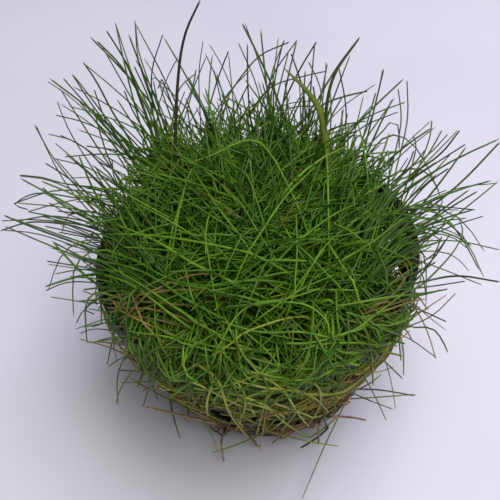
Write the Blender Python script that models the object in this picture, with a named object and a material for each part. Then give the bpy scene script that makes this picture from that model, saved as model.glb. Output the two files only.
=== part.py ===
"""Dwarf hairgrass in a round net pot, standing on its base.

A tapered black basket holds a plug of rockwool and roots. Tufts of thin round blades stand on the plug,
young tufts and loose roots have crept out through the slots in the wall, and one brown stalk and one
broad forked blade stand above the rest. A tuft is one solid: a low crown whose faces are drawn out into
locks of blades, each lock standing clear of the other locks, the pot and the plug.
"""

import math
import random
from dataclasses import dataclass

import bmesh
import bpy
import numpy as np
from mathutils import Matrix, Vector, noise

UP = Vector((0.0, 0.0, 1.0))
MM = 0.001

# Pot
RIM_RADIUS = 0.0260
BASE_RADIUS = 0.0143
POT_HEIGHT = 0.0330
WALL = 0.0011
COLLAR_BOTTOM = 0.0272
COLLAR_STEP = 0.0005
COLLAR_RADIUS = 0.0254
WALL_TOP_RADIUS = 0.0248
BASE_CHAMFER = 0.0010
CENTRE_DISC_RADIUS = 0.0050
BASE_SLOT_OUTER = 0.0106
LOWER_SLOTS = (0.0045, 0.0140)
UPPER_SLOTS = (0.0166, 0.0262)

# The basket is turned in narrow columns: one column in three is a rib, the other two are slot
RIB_COUNT = 16
COLUMNS_PER_RIB = 3
COLUMN_COUNT = RIB_COUNT * COLUMNS_PER_RIB
COLUMN_ANGLE = math.tau / COLUMN_COUNT
COLUMNS_PER_SPOKE = 8
SPOKE_COLUMNS = 3
POT_TURN = math.radians(4.0)

# Plug of rockwool and roots; measured level, the slanting wall is a tenth thicker than square to its slope
LEVEL_WALL = WALL * 1.1
PLUG_TOP = 0.0268
PLUG_TOP_RADIUS = 0.0205
PLUG_SHOULDER_RADIUS = 0.0216
PLUG_SHOULDER = 0.0258
PLUG_NECK = 0.0228
PLUG_FOOT = 0.0018
PLUG_GAP = 0.0005
PLUG_LUMP = 0.0004
PLUG_LUMP_SCALE = 260.0
PLUG_COLUMNS = 30
PLUG_RINGS = 6

# Clearance between pieces that touch, between locks that cross, and under the lowest locks
TOUCH_GAP = 0.0003
LOCK_GAP = 0.00012
FLOOR_GAP = 0.0010

# Crowns
SITE_COUNT = 34
FIELD_RADIUS = 0.0188
GOLDEN_ANGLE = math.pi * (3.0 - math.sqrt(5.0))
CROWN_RADIUS = 0.0019
CROWN_HEIGHT = 0.0015
CROWN_PINCH = 0.30
CROWN_CORE = 0.8
CAP_SHARE = 0.25
ICO_RING = 1.0 / math.sqrt(5.0)
SIDE_CROWN_RADIUS = 0.0015
SIDE_CROWN_LENGTH = 0.0036

# Locks
LOCK_RADIUS = 0.00075
LOCK_FOOT_RADIUS = 0.0009
LOCK_THINNING = 0.8
LOCK_STEPS = 3
LONG_LOCK_STEPS = 4
FOOT_SHARE = 0.35
SIBLING_SHARE = 0.6
MOST_TRIES = 260
SHRINK_PER_TRY = 0.995
CROWNS_TRIED = 7
RISES = (0.10, 0.18, 0.26, 0.36, 0.48, 0.62, 0.80)
ARCH_MIDDLE = 0.45
LEAST_ALIGNMENT = 0.25
ROOT_SHARE = 0.5
DRAPED_ROOT_SHARE = 0.58
DRAPE_REACH = 1.06
DRAPE_HEIGHT = 0.013
SEED = 11

# The stalk and the forked blade: feet, bends and tips as (right, back, up) in millimetres
STALK_PATH = ((-13, 4, 29), (-12.5, 6, 37), (-11.4, 8, 45), (-9.3, 11, 57), (-7.2, 13, 64.5), (-4, 14, 70))
STALK_RADIUS = 0.0006
FORK_STEM = ((12, 2, 29), (12.6, 4, 40), (12.2, 7, 51))
FORK_LEFT = ((10.6, 8, 55.5), (7, 10, 59.5))
FORK_RIGHT = ((14.2, 9.5, 57), (18.7, 12, 62))
FORK_RADIUS = 0.0008
FOOT_SIDES = 6
FOOT_RADIUS = 0.0012
FOOT_TOP_RADIUS = 0.0007
FOOT_HEIGHT = 0.0014

# Tips of the longest locks that grow on the plug, as (right, back, up) in millimetres
HIGH_TIPS = (
    (-40, 5, 39), (-37, 0, 45), (-38, 8, 41), (-36, 8, 46), (-32, 4, 46), (-32, 12, 53), (-28, 14, 55),
    (-30, 20, 56), (-26, 20, 56), (-24, 20, 58), (-21, 22, 60), (-18, 22, 63), (-15, 22, 63), (-11, 22, 60),
    (-1, 20, 57), (2, 20, 62), (8, 22, 57), (10, 20, 58), (13, 22, 56), (15, 22, 52), (17, 18, 48),
    (20, 16, 49), (24, 20, 51), (27, 18, 50), (31, 14, 44), (35, 12, 43), (36, 10, 41), (40, 6, 45),
    (40, 4, 38), (35, 0, 36), (31, -3, 39), (29, -7, 37), (-31, -2, 41), (-32, -5, 39), (-32, -9, 36),
    (-27, -18, 38), (26, -18, 38), (-16, 33, 50), (-4, 35, 48), (8, 35, 50), (20, 30, 48), (-28, 28, 46),
)
DRAPED_TIPS = (
    (-34, -3, 31), (-31, -4, 25), (-28, -11, 26), (-23, -16, 26), (-18, -21, 25), (-12, -25, 25),
    (-5, -27, 24), (2, -28, 25), (9, -27, 24), (15, -24, 25), (20, -20, 25), (25, -13, 27), (37, -4, 24),
    (38, 0, 26), (35, -7, 29), (-22, 27, 25), (-7, 34, 27), (9, 34, 24), (23, 27, 27), (-34, 14, 28),
    (34, 13, 26),
)

# Tips of the longest locks that grow out of the slots
SIDE_TIPS = (
    (-31, -5, 21), (-27, -8, 17), (-24, -9, 15), (-26, -12, 11), (-21, -15, 14), (-16, -18, 8),
    (-11, -20, 6), (-3, -24, 11), (3, -28, 2), (10, -22, 7), (21, -14, 4), (25, -12, 5), (23, -10, 8),
    (29, -8, 9), (31, -6, 14), (31, -4, 21),
)

# Slots that a young tuft or a root bundle has crept out of, counted from +X towards +Y
UPPER_TUFT_SLOTS = (0, 2, 4, 6, 7, 8, 9, 11, 13, 14, 15)
LOWER_TUFT_SLOTS = (1, 5, 8, 9, 11, 13, 15)
LOWER_ROOT_SLOTS = (3, 6, 10, 12)

# Colours and roughness
BLACK_PLASTIC = ((0.020, 0.021, 0.024), 0.45)
ROCKWOOL = ((0.130, 0.085, 0.045), 0.95)
GRASS = ((0.085, 0.200, 0.030), 0.50)
OLIVE = ((0.160, 0.200, 0.040), 0.55)
TAN_ROOT = ((0.330, 0.220, 0.120), 0.80)
BROWN_STALK = ((0.110, 0.070, 0.040), 0.60)


@dataclass(frozen=True)
class Habit:
    """How the free locks of a crown grow; angles in radians, lengths in metres."""

    spread: float
    bend: tuple
    twist: float
    length: tuple
    lift: float
    pull: float
    sweep: float


def remove_everything():
    """Empties the scene that the file is opened in."""
    for thing in list(bpy.data.objects):
        bpy.data.objects.remove(thing, do_unlink=True)


def finish_of(name, look):
    """A plain material with the given colour and roughness."""
    colour, roughness = look
    material = bpy.data.materials.new(name)
    material.use_nodes = True
    shader = material.node_tree.nodes["Principled BSDF"]
    shader.inputs["Base Color"].default_value = (*colour, 1.0)
    shader.inputs["Roughness"].default_value = roughness
    shader.inputs["Metallic"].default_value = 0.0
    return material


def place(name, bm, material):
    """Makes one named object of a bmesh and links it to the scene."""
    mesh = bpy.data.meshes.new(name)
    bmesh.ops.recalc_face_normals(bm, faces=bm.faces[:])
    bm.to_mesh(mesh)
    bm.free()
    mesh.materials.append(material)
    bpy.context.scene.collection.objects.link(bpy.data.objects.new(name, mesh))


def points_of(path):
    """Vectors in metres for points written in millimetres."""
    return [Vector(point) * MM for point in path]


def wall_radius(z):
    """Outer radius of the tapered wall at height z, up to the collar."""
    share = min(max(z / COLLAR_BOTTOM, 0.0), 1.0)
    return BASE_RADIUS + (WALL_TOP_RADIUS - BASE_RADIUS) * share


def turned(bm, profile, columns):
    """Spins a profile of (radius, height) points once round the Z axis."""
    points = [bm.verts.new((radius, 0.0, height)) for radius, height in profile]
    edges = [bm.edges.new(pair) for pair in zip(points, points[1:])]
    bmesh.ops.spin(
        bm,
        geom=points + edges,
        cent=(0.0, 0.0, 0.0),
        axis=UP,
        angle=math.tau,
        steps=columns,
        use_merge=True,
    )


def ring_edges(bm, radius, height):
    """The open edges that lie on one ring of a turned shape."""
    reach = 0.0001

    def on_ring(vertex):
        off_radius = abs(vertex.co.xy.length - radius)
        return off_radius < reach and abs(vertex.co.z - height) < reach

    return [e for e in bm.edges if e.is_boundary and all(map(on_ring, e.verts))]


def column_of(face):
    """Number of the basket's column that a face lies in."""
    centre = face.calc_center_median()
    return int((math.atan2(centre.y, centre.x) % math.tau) / COLUMN_ANGLE)


def is_wall_slot(face):
    """True for a face that one of the two rows of wall slots takes away."""
    height = face.calc_center_median().z
    in_row = any(low < height < high for low, high in (LOWER_SLOTS, UPPER_SLOTS))
    return in_row and column_of(face) % COLUMNS_PER_RIB != 0


def is_base_slot(face):
    """True for a face that one of the openings between the base's spokes takes away."""
    centre = face.calc_center_median()
    in_ring = CENTRE_DISC_RADIUS < centre.xy.length < BASE_SLOT_OUTER and centre.z < BASE_CHAMFER / 2
    return in_ring and column_of(face) % COLUMNS_PER_SPOKE >= SPOKE_COLUMNS


def make_pot(material):
    """The moulded basket: its outer skin is turned, slotted, and then given its wall inwards."""
    profile = [
        (CENTRE_DISC_RADIUS, 0.0),
        (BASE_SLOT_OUTER, 0.0),
        (BASE_RADIUS - BASE_CHAMFER, 0.0),
        (wall_radius(BASE_CHAMFER), BASE_CHAMFER),
        *((wall_radius(z), z) for z in (*LOWER_SLOTS, *UPPER_SLOTS, COLLAR_BOTTOM)),
        (COLLAR_RADIUS, COLLAR_BOTTOM + COLLAR_STEP),
        (RIM_RADIUS, POT_HEIGHT),
    ]
    bm = bmesh.new()
    turned(bm, profile, COLUMN_COUNT)
    disc = bmesh.ops.contextual_create(bm, geom=ring_edges(bm, CENTRE_DISC_RADIUS, 0.0))["faces"]
    cut = [f for f in bm.faces if f not in disc and (is_wall_slot(f) or is_base_slot(f))]
    bmesh.ops.delete(bm, geom=cut, context="FACES")
    bmesh.ops.recalc_face_normals(bm, faces=bm.faces[:])
    if disc[0].normal.z > 0.0:
        bmesh.ops.reverse_faces(bm, faces=bm.faces[:])
    bmesh.ops.rotate(bm, cent=(0.0, 0.0, 0.0), matrix=Matrix.Rotation(POT_TURN, 3, "Z"), verts=bm.verts[:])
    mesh = bpy.data.meshes.new("net_pot")
    bm.to_mesh(mesh)
    bm.free()
    mesh.materials.append(material)
    pot = bpy.data.objects.new("net_pot", mesh)
    bpy.context.scene.collection.objects.link(pot)
    wall = pot.modifiers.new("wall", "SOLIDIFY")
    wall.thickness = WALL
    wall.offset = -1.0
    wall.use_even_offset = True


def plug_radius(z):
    """Radius of the plug at height z before its lumps, inside the tapered wall."""
    if z >= PLUG_SHOULDER:
        return PLUG_SHOULDER_RADIUS
    return wall_radius(z) - LEVEL_WALL - PLUG_GAP - PLUG_LUMP


def make_plug(material):
    """The lumpy plug of rockwool and roots, flat on top where the tufts stand."""
    heights = [PLUG_FOOT + (PLUG_NECK - PLUG_FOOT) * i / (PLUG_RINGS - 1) for i in range(PLUG_RINGS)]
    profile = [(plug_radius(z), z) for z in heights]
    profile += [(PLUG_SHOULDER_RADIUS, PLUG_SHOULDER), (PLUG_TOP_RADIUS, PLUG_TOP)]
    bm = bmesh.new()
    turned(bm, profile, PLUG_COLUMNS)
    for radius, height in (profile[0], profile[-1]):
        bmesh.ops.contextual_create(bm, geom=ring_edges(bm, radius, height))
    for vertex in bm.verts:
        if PLUG_FOOT < vertex.co.z < PLUG_TOP:
            lump = PLUG_LUMP * noise.noise(vertex.co * PLUG_LUMP_SCALE)
            vertex.co.xy *= 1.0 + lump / vertex.co.xy.length
    place("root_ball", bm, material)


def draw_out(bm, face, points, radii):
    """Extrudes a face along a line of points, with a given radius at each, to a pointed tip."""
    heading = face.normal.copy()
    centre = face.calc_center_median()
    size = sum((v.co - centre).length for v in face.verts) / len(face.verts)
    for number, point in enumerate(points[1:-1], start=1):
        face = bmesh.ops.extrude_discrete_faces(bm, faces=[face])["faces"][0]
        centre = face.calc_center_median()
        before = (point - points[number - 1]).normalized()
        after = (points[number + 1] - point).normalized()
        direction = (before + after).normalized()
        turn = heading.rotation_difference(direction).to_matrix()
        for vertex in face.verts:
            vertex.co = point + turn @ (vertex.co - centre) * (radii[number] / size)
        heading, size = direction, radii[number]
    return face, heading


def draw_to_tip(bm, face, points, radii):
    """Draws a face out along a line and closes it in its last point."""
    face, _ = draw_out(bm, face, points, radii)
    face = bmesh.ops.extrude_discrete_faces(bm, faces=[face])["faces"][0]
    bmesh.ops.pointmerge(bm, verts=face.verts[:], merge_co=points[-1])


def tapering(radius, steps):
    """Radius at each point of a line that thins towards its tip."""
    return [radius * (1.0 - i / steps) ** LOCK_THINNING for i in range(steps + 1)]


def upward_foot(foot):
    """A small conical foot on the plug, and the face on its top."""
    bm = bmesh.new()
    middle = foot + UP * FOOT_HEIGHT / 2.0
    bmesh.ops.create_cone(
        bm,
        cap_ends=True,
        segments=FOOT_SIDES,
        radius1=FOOT_RADIUS,
        radius2=FOOT_TOP_RADIUS,
        depth=FOOT_HEIGHT,
        matrix=Matrix.Translation(middle),
    )
    bm.normal_update()
    top = max(bm.faces, key=lambda f: f.calc_center_median().z)
    return bm, top


def foot_under(path):
    """Where a stem's foot stands on the plug, under the first point of its path."""
    return Vector((path[0].x, path[0].y, PLUG_TOP + TOUCH_GAP))


def make_stalk(material):
    """The dark brown stalk that stands above the grass."""
    path = points_of(STALK_PATH)
    bm, top = upward_foot(foot_under(path))
    draw_to_tip(bm, top, path, tapering(STALK_RADIUS, len(path) - 1))
    place("brown_stalk", bm, material)


def make_fork(material):
    """The broad olive blade, whose stem parts into two."""
    stem, left, right = points_of(FORK_STEM), points_of(FORK_LEFT), points_of(FORK_RIGHT)
    bm, top = upward_foot(foot_under(stem))
    ahead = (left[0] + right[0]) / 2.0
    top, _ = draw_out(bm, top, stem + [ahead], [FORK_RADIUS] * (len(stem) + 1))
    corners = sorted(top.verts, key=lambda v: v.co.y)
    bmesh.ops.connect_verts(bm, verts=[corners[0], corners[-1]])
    bm.normal_update()
    halves = sorted((f for f in bm.faces if {corners[0], corners[-1]} <= set(f.verts)), key=face_x)
    for half, branch in zip(halves, (left, right)):
        line = [half.calc_center_median()] + branch
        draw_to_tip(bm, half, line, tapering(FORK_RADIUS, len(branch)))
    place("broad_blade", bm, material)


def face_x(face):
    """How far to the right a face lies."""
    return face.calc_center_median().x


def closest_gaps(start, end, starts, ends):
    """Shortest distance from one straight segment to each of many."""
    along, others, apart = end - start, ends - starts, start - starts
    length_sq = max(along @ along, 1e-12)
    others_sq = np.maximum((others * others).sum(1), 1e-12)
    shared, own, theirs = others @ along, apart @ along, (others * apart).sum(1)
    determinant = np.maximum(length_sq * others_sq - shared * shared, 1e-18)
    s = np.clip((shared * theirs - others_sq * own) / determinant, 0.0, 1.0)
    t = np.clip((shared * s + theirs) / others_sq, 0.0, 1.0)
    s = np.clip((shared * t - own) / length_sq, 0.0, 1.0)
    return np.linalg.norm(apart + s[:, None] * along - t[:, None] * others, axis=1)


def stretches(points, radii):
    """A lock as thick straight stretches: (start, end, radius, whether it is the lock's foot)."""
    knee = points[0].lerp(points[1], FOOT_SHARE)
    line = [points[0], knee] + points[1:]
    thick = [LOCK_FOOT_RADIUS] + [max(pair) for pair in zip(radii, radii[1:])]
    return [(a, b, radius, a is points[0]) for a, b, radius in zip(line, line[1:], thick)]


class Thicket:
    """What has already grown, as thick stretches, so that a new lock can be tested against it."""

    def __init__(self):
        self.starts = np.zeros((0, 3))
        self.ends = np.zeros((0, 3))
        self.radii = np.zeros(0)
        self.owners = np.zeros(0, int)
        self.feet = np.zeros(0, bool)

    def add(self, parts, owner):
        """Adds the stretches of one lock, crown or stem."""
        self.starts = np.vstack([self.starts, [tuple(a) for a, *_ in parts]])
        self.ends = np.vstack([self.ends, [tuple(b) for _, b, *_ in parts]])
        self.radii = np.concatenate([self.radii, [radius for *_, radius, _ in parts]])
        self.feet = np.concatenate([self.feet, [is_foot for *_, is_foot in parts]])
        self.owners = np.concatenate([self.owners, np.full(len(parts), owner)])

    def clears(self, parts, owner):
        """True if no stretch comes too near to another; two feet on one crown may touch."""
        own = self.owners == owner
        for start, end, radius, is_foot in parts:
            gaps = closest_gaps(np.array(start), np.array(end), self.starts, self.ends)
            needed = self.radii + radius + LOCK_GAP
            near_foot = own & (self.feet | is_foot)
            needed = np.where(near_foot, needed * SIBLING_SHARE, needed)
            needed = np.where(own & self.feet & is_foot, 0.0, needed)
            if (gaps < needed).any():
                return False
        return True


def clear_of_pot(parts, inside):
    """True if a lock stays off the collar, the wall, the plug and the floor."""
    samples = 10
    for start, end, radius, is_foot in parts:
        margin = radius + TOUCH_GAP
        for sample in range(samples + 1):
            point = start.lerp(end, sample / samples)
            if is_foot or point.z > POT_HEIGHT + margin:
                continue
            if point.z < FLOOR_GAP + radius * (1.0 - sample / samples):
                return False
            reach = point.xy.length
            within = inside and reach < COLLAR_RADIUS - WALL - margin and point.z > PLUG_TOP + margin
            skin = RIM_RADIUS if point.z > COLLAR_BOTTOM - margin else wall_radius(point.z)
            if not within and reach < skin + margin:
                return False
    return True


def bowed_line(root, heading, lean, bend, twist, length, steps=LOCK_STEPS):
    """Points along a blade that leaves its root at a heading and a lean from upright, and bends on its way."""
    points = [root.copy()]
    for step in range(steps):
        share = (step + 0.5) / steps
        tilt, turn = lean + bend * share, heading + twist * share
        direction = Vector((math.sin(tilt) * math.cos(turn), math.sin(tilt) * math.sin(turn), math.cos(tilt)))
        points.append(points[-1] + direction * (length / steps))
    return points


def arched_line(root, tip, over, steps):
    """Points on a parabola from a root to a tip, drawn towards a third point."""
    line = []
    for step in range(steps + 1):
        t = step / steps
        line.append(root * (1.0 - t) ** 2 + over * 2.0 * t * (1.0 - t) + tip * t * t)
    return line


class Crown:
    """A low bud on a flat five-sided foot: five cap faces and five belt faces can be drawn out of it."""

    def __init__(self, name, foot, axis, radius, height, turn, inside):
        self.name, self.foot, self.axis, self.inside = name, foot, axis, inside
        self.lines = []
        self.bm = bmesh.new()
        bmesh.ops.create_icosphere(self.bm, subdivisions=1, radius=1.0)
        for vertex in self.bm.verts:
            up = (max(vertex.co.z, -ICO_RING) + ICO_RING) / (1.0 + ICO_RING)
            pinch = 1.0 - CROWN_PINCH * up
            vertex.co = Vector((vertex.co.x * radius * pinch, vertex.co.y * radius * pinch, up * height))
        ring = height * CAP_SHARE
        caps = [f for f in self.bm.faces if all(v.co.z > ring for v in f.verts)]
        belt = [f for f in self.bm.faces if sum(v.co.z > ring for v in f.verts) == 2]
        self.free = caps + belt if inside else caps
        upright = UP.rotation_difference(axis).to_matrix().to_4x4()
        spin = Matrix.Rotation(turn, 4, "Z")
        bmesh.ops.transform(self.bm, matrix=Matrix.Translation(foot) @ upright @ spin, verts=self.bm.verts[:])
        self.bm.normal_update()

    def finish(self, material):
        """Draws out the locks and makes the crown's object."""
        for face, points, radii in self.lines:
            draw_to_tip(self.bm, face, points, radii)
        place(self.name, self.bm, material)


def arch_top(crown, tip, rise):
    """The point that an arch from a crown to a tip is drawn towards; a low tip's arch goes over the rim."""
    if crown.inside and tip.z < POT_HEIGHT:
        rim = Vector((tip.x, tip.y, 0.0)).normalized() * RIM_RADIUS * DRAPE_REACH
        return rim + UP * (POT_HEIGHT + DRAPE_HEIGHT * (1.0 + rise))
    return crown.foot.lerp(tip, ARCH_MIDDLE) + crown.axis * rise * (tip - crown.foot).length


class Grower:
    """Grows locks one after another, each clear of all that grew before it."""

    def __init__(self, seed):
        self.chance = random.Random(seed)
        self.thicket = Thicket()
        self.crowns = []

    def plan_crown(self, name, foot, axis, radius, height, inside):
        """Takes the place for a crown, which the locks of other tufts then avoid."""
        turn = self.chance.uniform(0.0, math.tau)
        self.thicket.add([(foot, foot + axis * height, radius * CROWN_CORE, True)], len(self.crowns))
        self.crowns.append(Crown(name, foot, axis, radius, height, turn, inside))

    def take(self, crown, face, points):
        """Keeps a line for one lock if it stands clear of everything."""
        owner = self.crowns.index(crown)
        radii = tapering(LOCK_RADIUS, len(points) - 1)
        parts = stretches(points, radii)
        if not clear_of_pot(parts, crown.inside) or not self.thicket.clears(parts, owner):
            return False
        self.thicket.add(parts, owner)
        crown.free.remove(face)
        crown.lines.append((face, points, radii))
        return True

    def reach_tip(self, tip, inside):
        """Grows a lock to a given tip from the best placed crown that can reach it."""
        flat = Vector((tip.x, tip.y, 0.0))
        share = DRAPED_ROOT_SHARE if tip.z < POT_HEIGHT else ROOT_SHARE
        ideal = flat * share + UP * PLUG_TOP if inside else tip
        near = sorted((c for c in self.crowns if c.inside == inside), key=lambda c: (c.foot - ideal).length)
        for rise in RISES:
            for crown in near[:CROWNS_TRIED]:
                over = arch_top(crown, tip, rise)
                first = (over - crown.foot).normalized()
                for face in sorted(crown.free, key=lambda f: -f.normal.dot(first)):
                    if face.normal.dot(first) < LEAST_ALIGNMENT:
                        break
                    line = arched_line(face.calc_center_median(), tip, over, LONG_LOCK_STEPS)
                    if self.take(crown, face, line):
                        return True
        return False

    def fill(self, crown, habit):
        """Draws a free lock out of each face that is left, where one stands clear."""
        chance = self.chance
        outward = Vector((crown.foot.x, crown.foot.y, 0.0)) / FIELD_RADIUS
        sideways = outward.cross(UP)
        for face in crown.free[:]:
            side = habit.sweep * chance.choice((-1.0, 1.0))
            start = face.normal + habit.lift * UP + habit.pull * outward + side * sideways
            for attempt in range(MOST_TRIES):
                spread = habit.spread * (1.0 + attempt / MOST_TRIES)
                nudge = Vector((chance.gauss(0.0, spread) for _ in range(3)))
                direction = (start + nudge).normalized()
                lean = math.acos(max(-1.0, min(1.0, direction.z)))
                heading = math.atan2(direction.y, direction.x)
                bend = chance.uniform(*habit.bend)
                twist = chance.gauss(0.0, habit.twist)
                length = chance.uniform(*habit.length) * SHRINK_PER_TRY**attempt
                line = bowed_line(face.calc_center_median(), heading, lean, bend, twist, length)
                if self.take(crown, face, line):
                    break


def top_habit(foot):
    """How a tuft on the plug grows: stiff at the back and the sides, swept sideways and low at the front."""
    front = max(0.0, -foot.y) / FIELD_RADIUS
    return Habit(
        spread=0.16,
        bend=(math.radians(4 + 20 * front), math.radians(30 + 30 * front)),
        twist=0.25,
        length=(0.021, 0.033 - 0.004 * front),
        lift=0.45,
        pull=0.70,
        sweep=0.25 + 0.9 * front,
    )


SIDE_HABIT = Habit(
    spread=0.30,
    bend=(math.radians(-25), math.radians(40)),
    twist=0.3,
    length=(0.007, 0.011),
    lift=0.10,
    pull=-0.55,
    sweep=1.4,
)

ROOT_HABIT = Habit(
    spread=0.45,
    bend=(math.radians(25), math.radians(60)),
    twist=0.6,
    length=(0.006, 0.009),
    lift=-0.10,
    pull=-0.55,
    sweep=1.2,
)


def slot_place(row, slot):
    """Foot and outward axis of a crown that comes out through a wall slot."""
    height = sum(row) / 2.0
    angle = (slot * COLUMNS_PER_RIB + (COLUMNS_PER_RIB + 1) / 2.0) * COLUMN_ANGLE + POT_TURN
    outward = Vector((math.cos(angle), math.sin(angle), 0.0))
    reach = plug_radius(height) + PLUG_LUMP + TOUCH_GAP
    return outward * reach + UP * height, outward


def crown_sites():
    """Places on the plug in a sunflower's spiral, without those that the two stems stand on."""
    sites = []
    for number in range(SITE_COUNT):
        reach = FIELD_RADIUS * math.sqrt((number + 0.5) / SITE_COUNT)
        angle = number * GOLDEN_ANGLE
        sites.append(Vector((reach * math.cos(angle), reach * math.sin(angle), PLUG_TOP + TOUCH_GAP)))
    for path in (STALK_PATH, FORK_STEM):
        foot = foot_under(points_of(path))
        sites.remove(min(sites, key=lambda site: (site - foot).length))
    return sites


def plan_crowns(grower):
    """Takes a place for every crown, on the plug and in the slots."""
    for number, site in enumerate(crown_sites(), start=1):
        grower.plan_crown(f"tuft_{number:02d}", site, UP, CROWN_RADIUS, CROWN_HEIGHT, inside=True)
    side_slots = [(UPPER_SLOTS, slot) for slot in UPPER_TUFT_SLOTS]
    side_slots += [(LOWER_SLOTS, slot) for slot in LOWER_TUFT_SLOTS]
    root_slots = [(LOWER_SLOTS, slot) for slot in LOWER_ROOT_SLOTS]
    for kind, slots in (("side_tuft", side_slots), ("root_bundle", root_slots)):
        for number, (row, slot) in enumerate(slots, start=1):
            foot, axis = slot_place(row, slot)
            name = f"{kind}_{number:02d}"
            grower.plan_crown(name, foot, axis, SIDE_CROWN_RADIUS, SIDE_CROWN_LENGTH, inside=False)


def keep_stems_free(grower):
    """Marks the stalk and the forked blade as grown, so that locks stay off them."""
    for path in (STALK_PATH, FORK_STEM, FORK_STEM[-1:] + FORK_LEFT, FORK_STEM[-1:] + FORK_RIGHT):
        line = points_of(path)
        grower.thicket.add([(a, b, FORK_RADIUS, False) for a, b in zip(line, line[1:])], -1)
    for path in (STALK_PATH, FORK_STEM):
        line = points_of(path)
        grower.thicket.add([(foot_under(line), line[0], FOOT_RADIUS, False)], -1)


def grow_all(green, olive, tan):
    """Grows every tuft and root bundle: the longest locks first, then the rest around them."""
    grower = Grower(SEED)
    plan_crowns(grower)
    keep_stems_free(grower)
    for tip in points_of(HIGH_TIPS + DRAPED_TIPS):
        grower.reach_tip(tip, inside=True)
    for tip in points_of(SIDE_TIPS):
        grower.reach_tip(tip, inside=False)
    for crown in grower.crowns:
        if crown.inside:
            grower.fill(crown, top_habit(crown.foot))
            crown.finish(green)
        elif crown.name.startswith("side"):
            grower.fill(crown, SIDE_HABIT)
            crown.finish(olive)
        else:
            grower.fill(crown, ROOT_HABIT)
            crown.finish(tan)


def main():
    """Builds the pot, the plug and all that grows from it."""
    remove_everything()
    make_pot(finish_of("black_plastic", BLACK_PLASTIC))
    make_plug(finish_of("rockwool", ROCKWOOL))
    make_stalk(finish_of("brown_stalk", BROWN_STALK))
    olive = finish_of("olive_blade", OLIVE)
    make_fork(olive)
    grow_all(finish_of("green_blade", GRASS), olive, finish_of("tan_root", TAN_ROOT))


main()
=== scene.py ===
"""Looks of a dwarf hairgrass plant in a black net pot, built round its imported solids.

Each solid of a plant is a crown with a few thick locks. Here every lock becomes a bunch of single thin
blades, the pot gets its rounded edges and its moulded grain, and the plug gets its matted roots.
"""

import logging
import math
import random
from dataclasses import dataclass, field
from enum import Enum

import bmesh
import bpy
import numpy as np
from mathutils import Matrix, Vector, noise


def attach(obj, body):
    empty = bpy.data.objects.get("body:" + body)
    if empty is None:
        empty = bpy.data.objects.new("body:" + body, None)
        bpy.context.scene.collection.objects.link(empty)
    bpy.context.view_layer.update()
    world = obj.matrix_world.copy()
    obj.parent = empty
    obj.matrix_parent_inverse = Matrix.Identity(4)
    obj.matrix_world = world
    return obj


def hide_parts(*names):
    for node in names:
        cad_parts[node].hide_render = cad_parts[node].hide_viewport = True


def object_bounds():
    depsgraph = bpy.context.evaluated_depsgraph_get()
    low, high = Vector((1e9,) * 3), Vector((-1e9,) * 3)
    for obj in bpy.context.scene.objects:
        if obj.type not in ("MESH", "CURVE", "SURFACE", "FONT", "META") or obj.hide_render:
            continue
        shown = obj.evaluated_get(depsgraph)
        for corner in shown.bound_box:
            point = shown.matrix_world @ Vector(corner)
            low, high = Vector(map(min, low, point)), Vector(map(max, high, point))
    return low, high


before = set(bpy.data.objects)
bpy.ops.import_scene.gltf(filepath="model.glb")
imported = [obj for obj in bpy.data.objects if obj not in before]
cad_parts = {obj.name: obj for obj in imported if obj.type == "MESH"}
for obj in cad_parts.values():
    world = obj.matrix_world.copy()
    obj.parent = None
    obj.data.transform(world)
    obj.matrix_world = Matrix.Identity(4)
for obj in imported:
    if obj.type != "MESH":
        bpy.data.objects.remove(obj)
CAD_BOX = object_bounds()
LOWEST, HIGHEST = (np.array(corner) for corner in CAD_BOX)

LOG = logging.getLogger("hairgrass")
MM = 0.001
Shade = tuple[int, int, int]
Span = tuple[float, float]
Point = tuple[float, float, float]
Path = tuple[Point, ...]
Trace = tuple[tuple[int, int], ...]
Socket = bpy.types.NodeSocket

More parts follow.
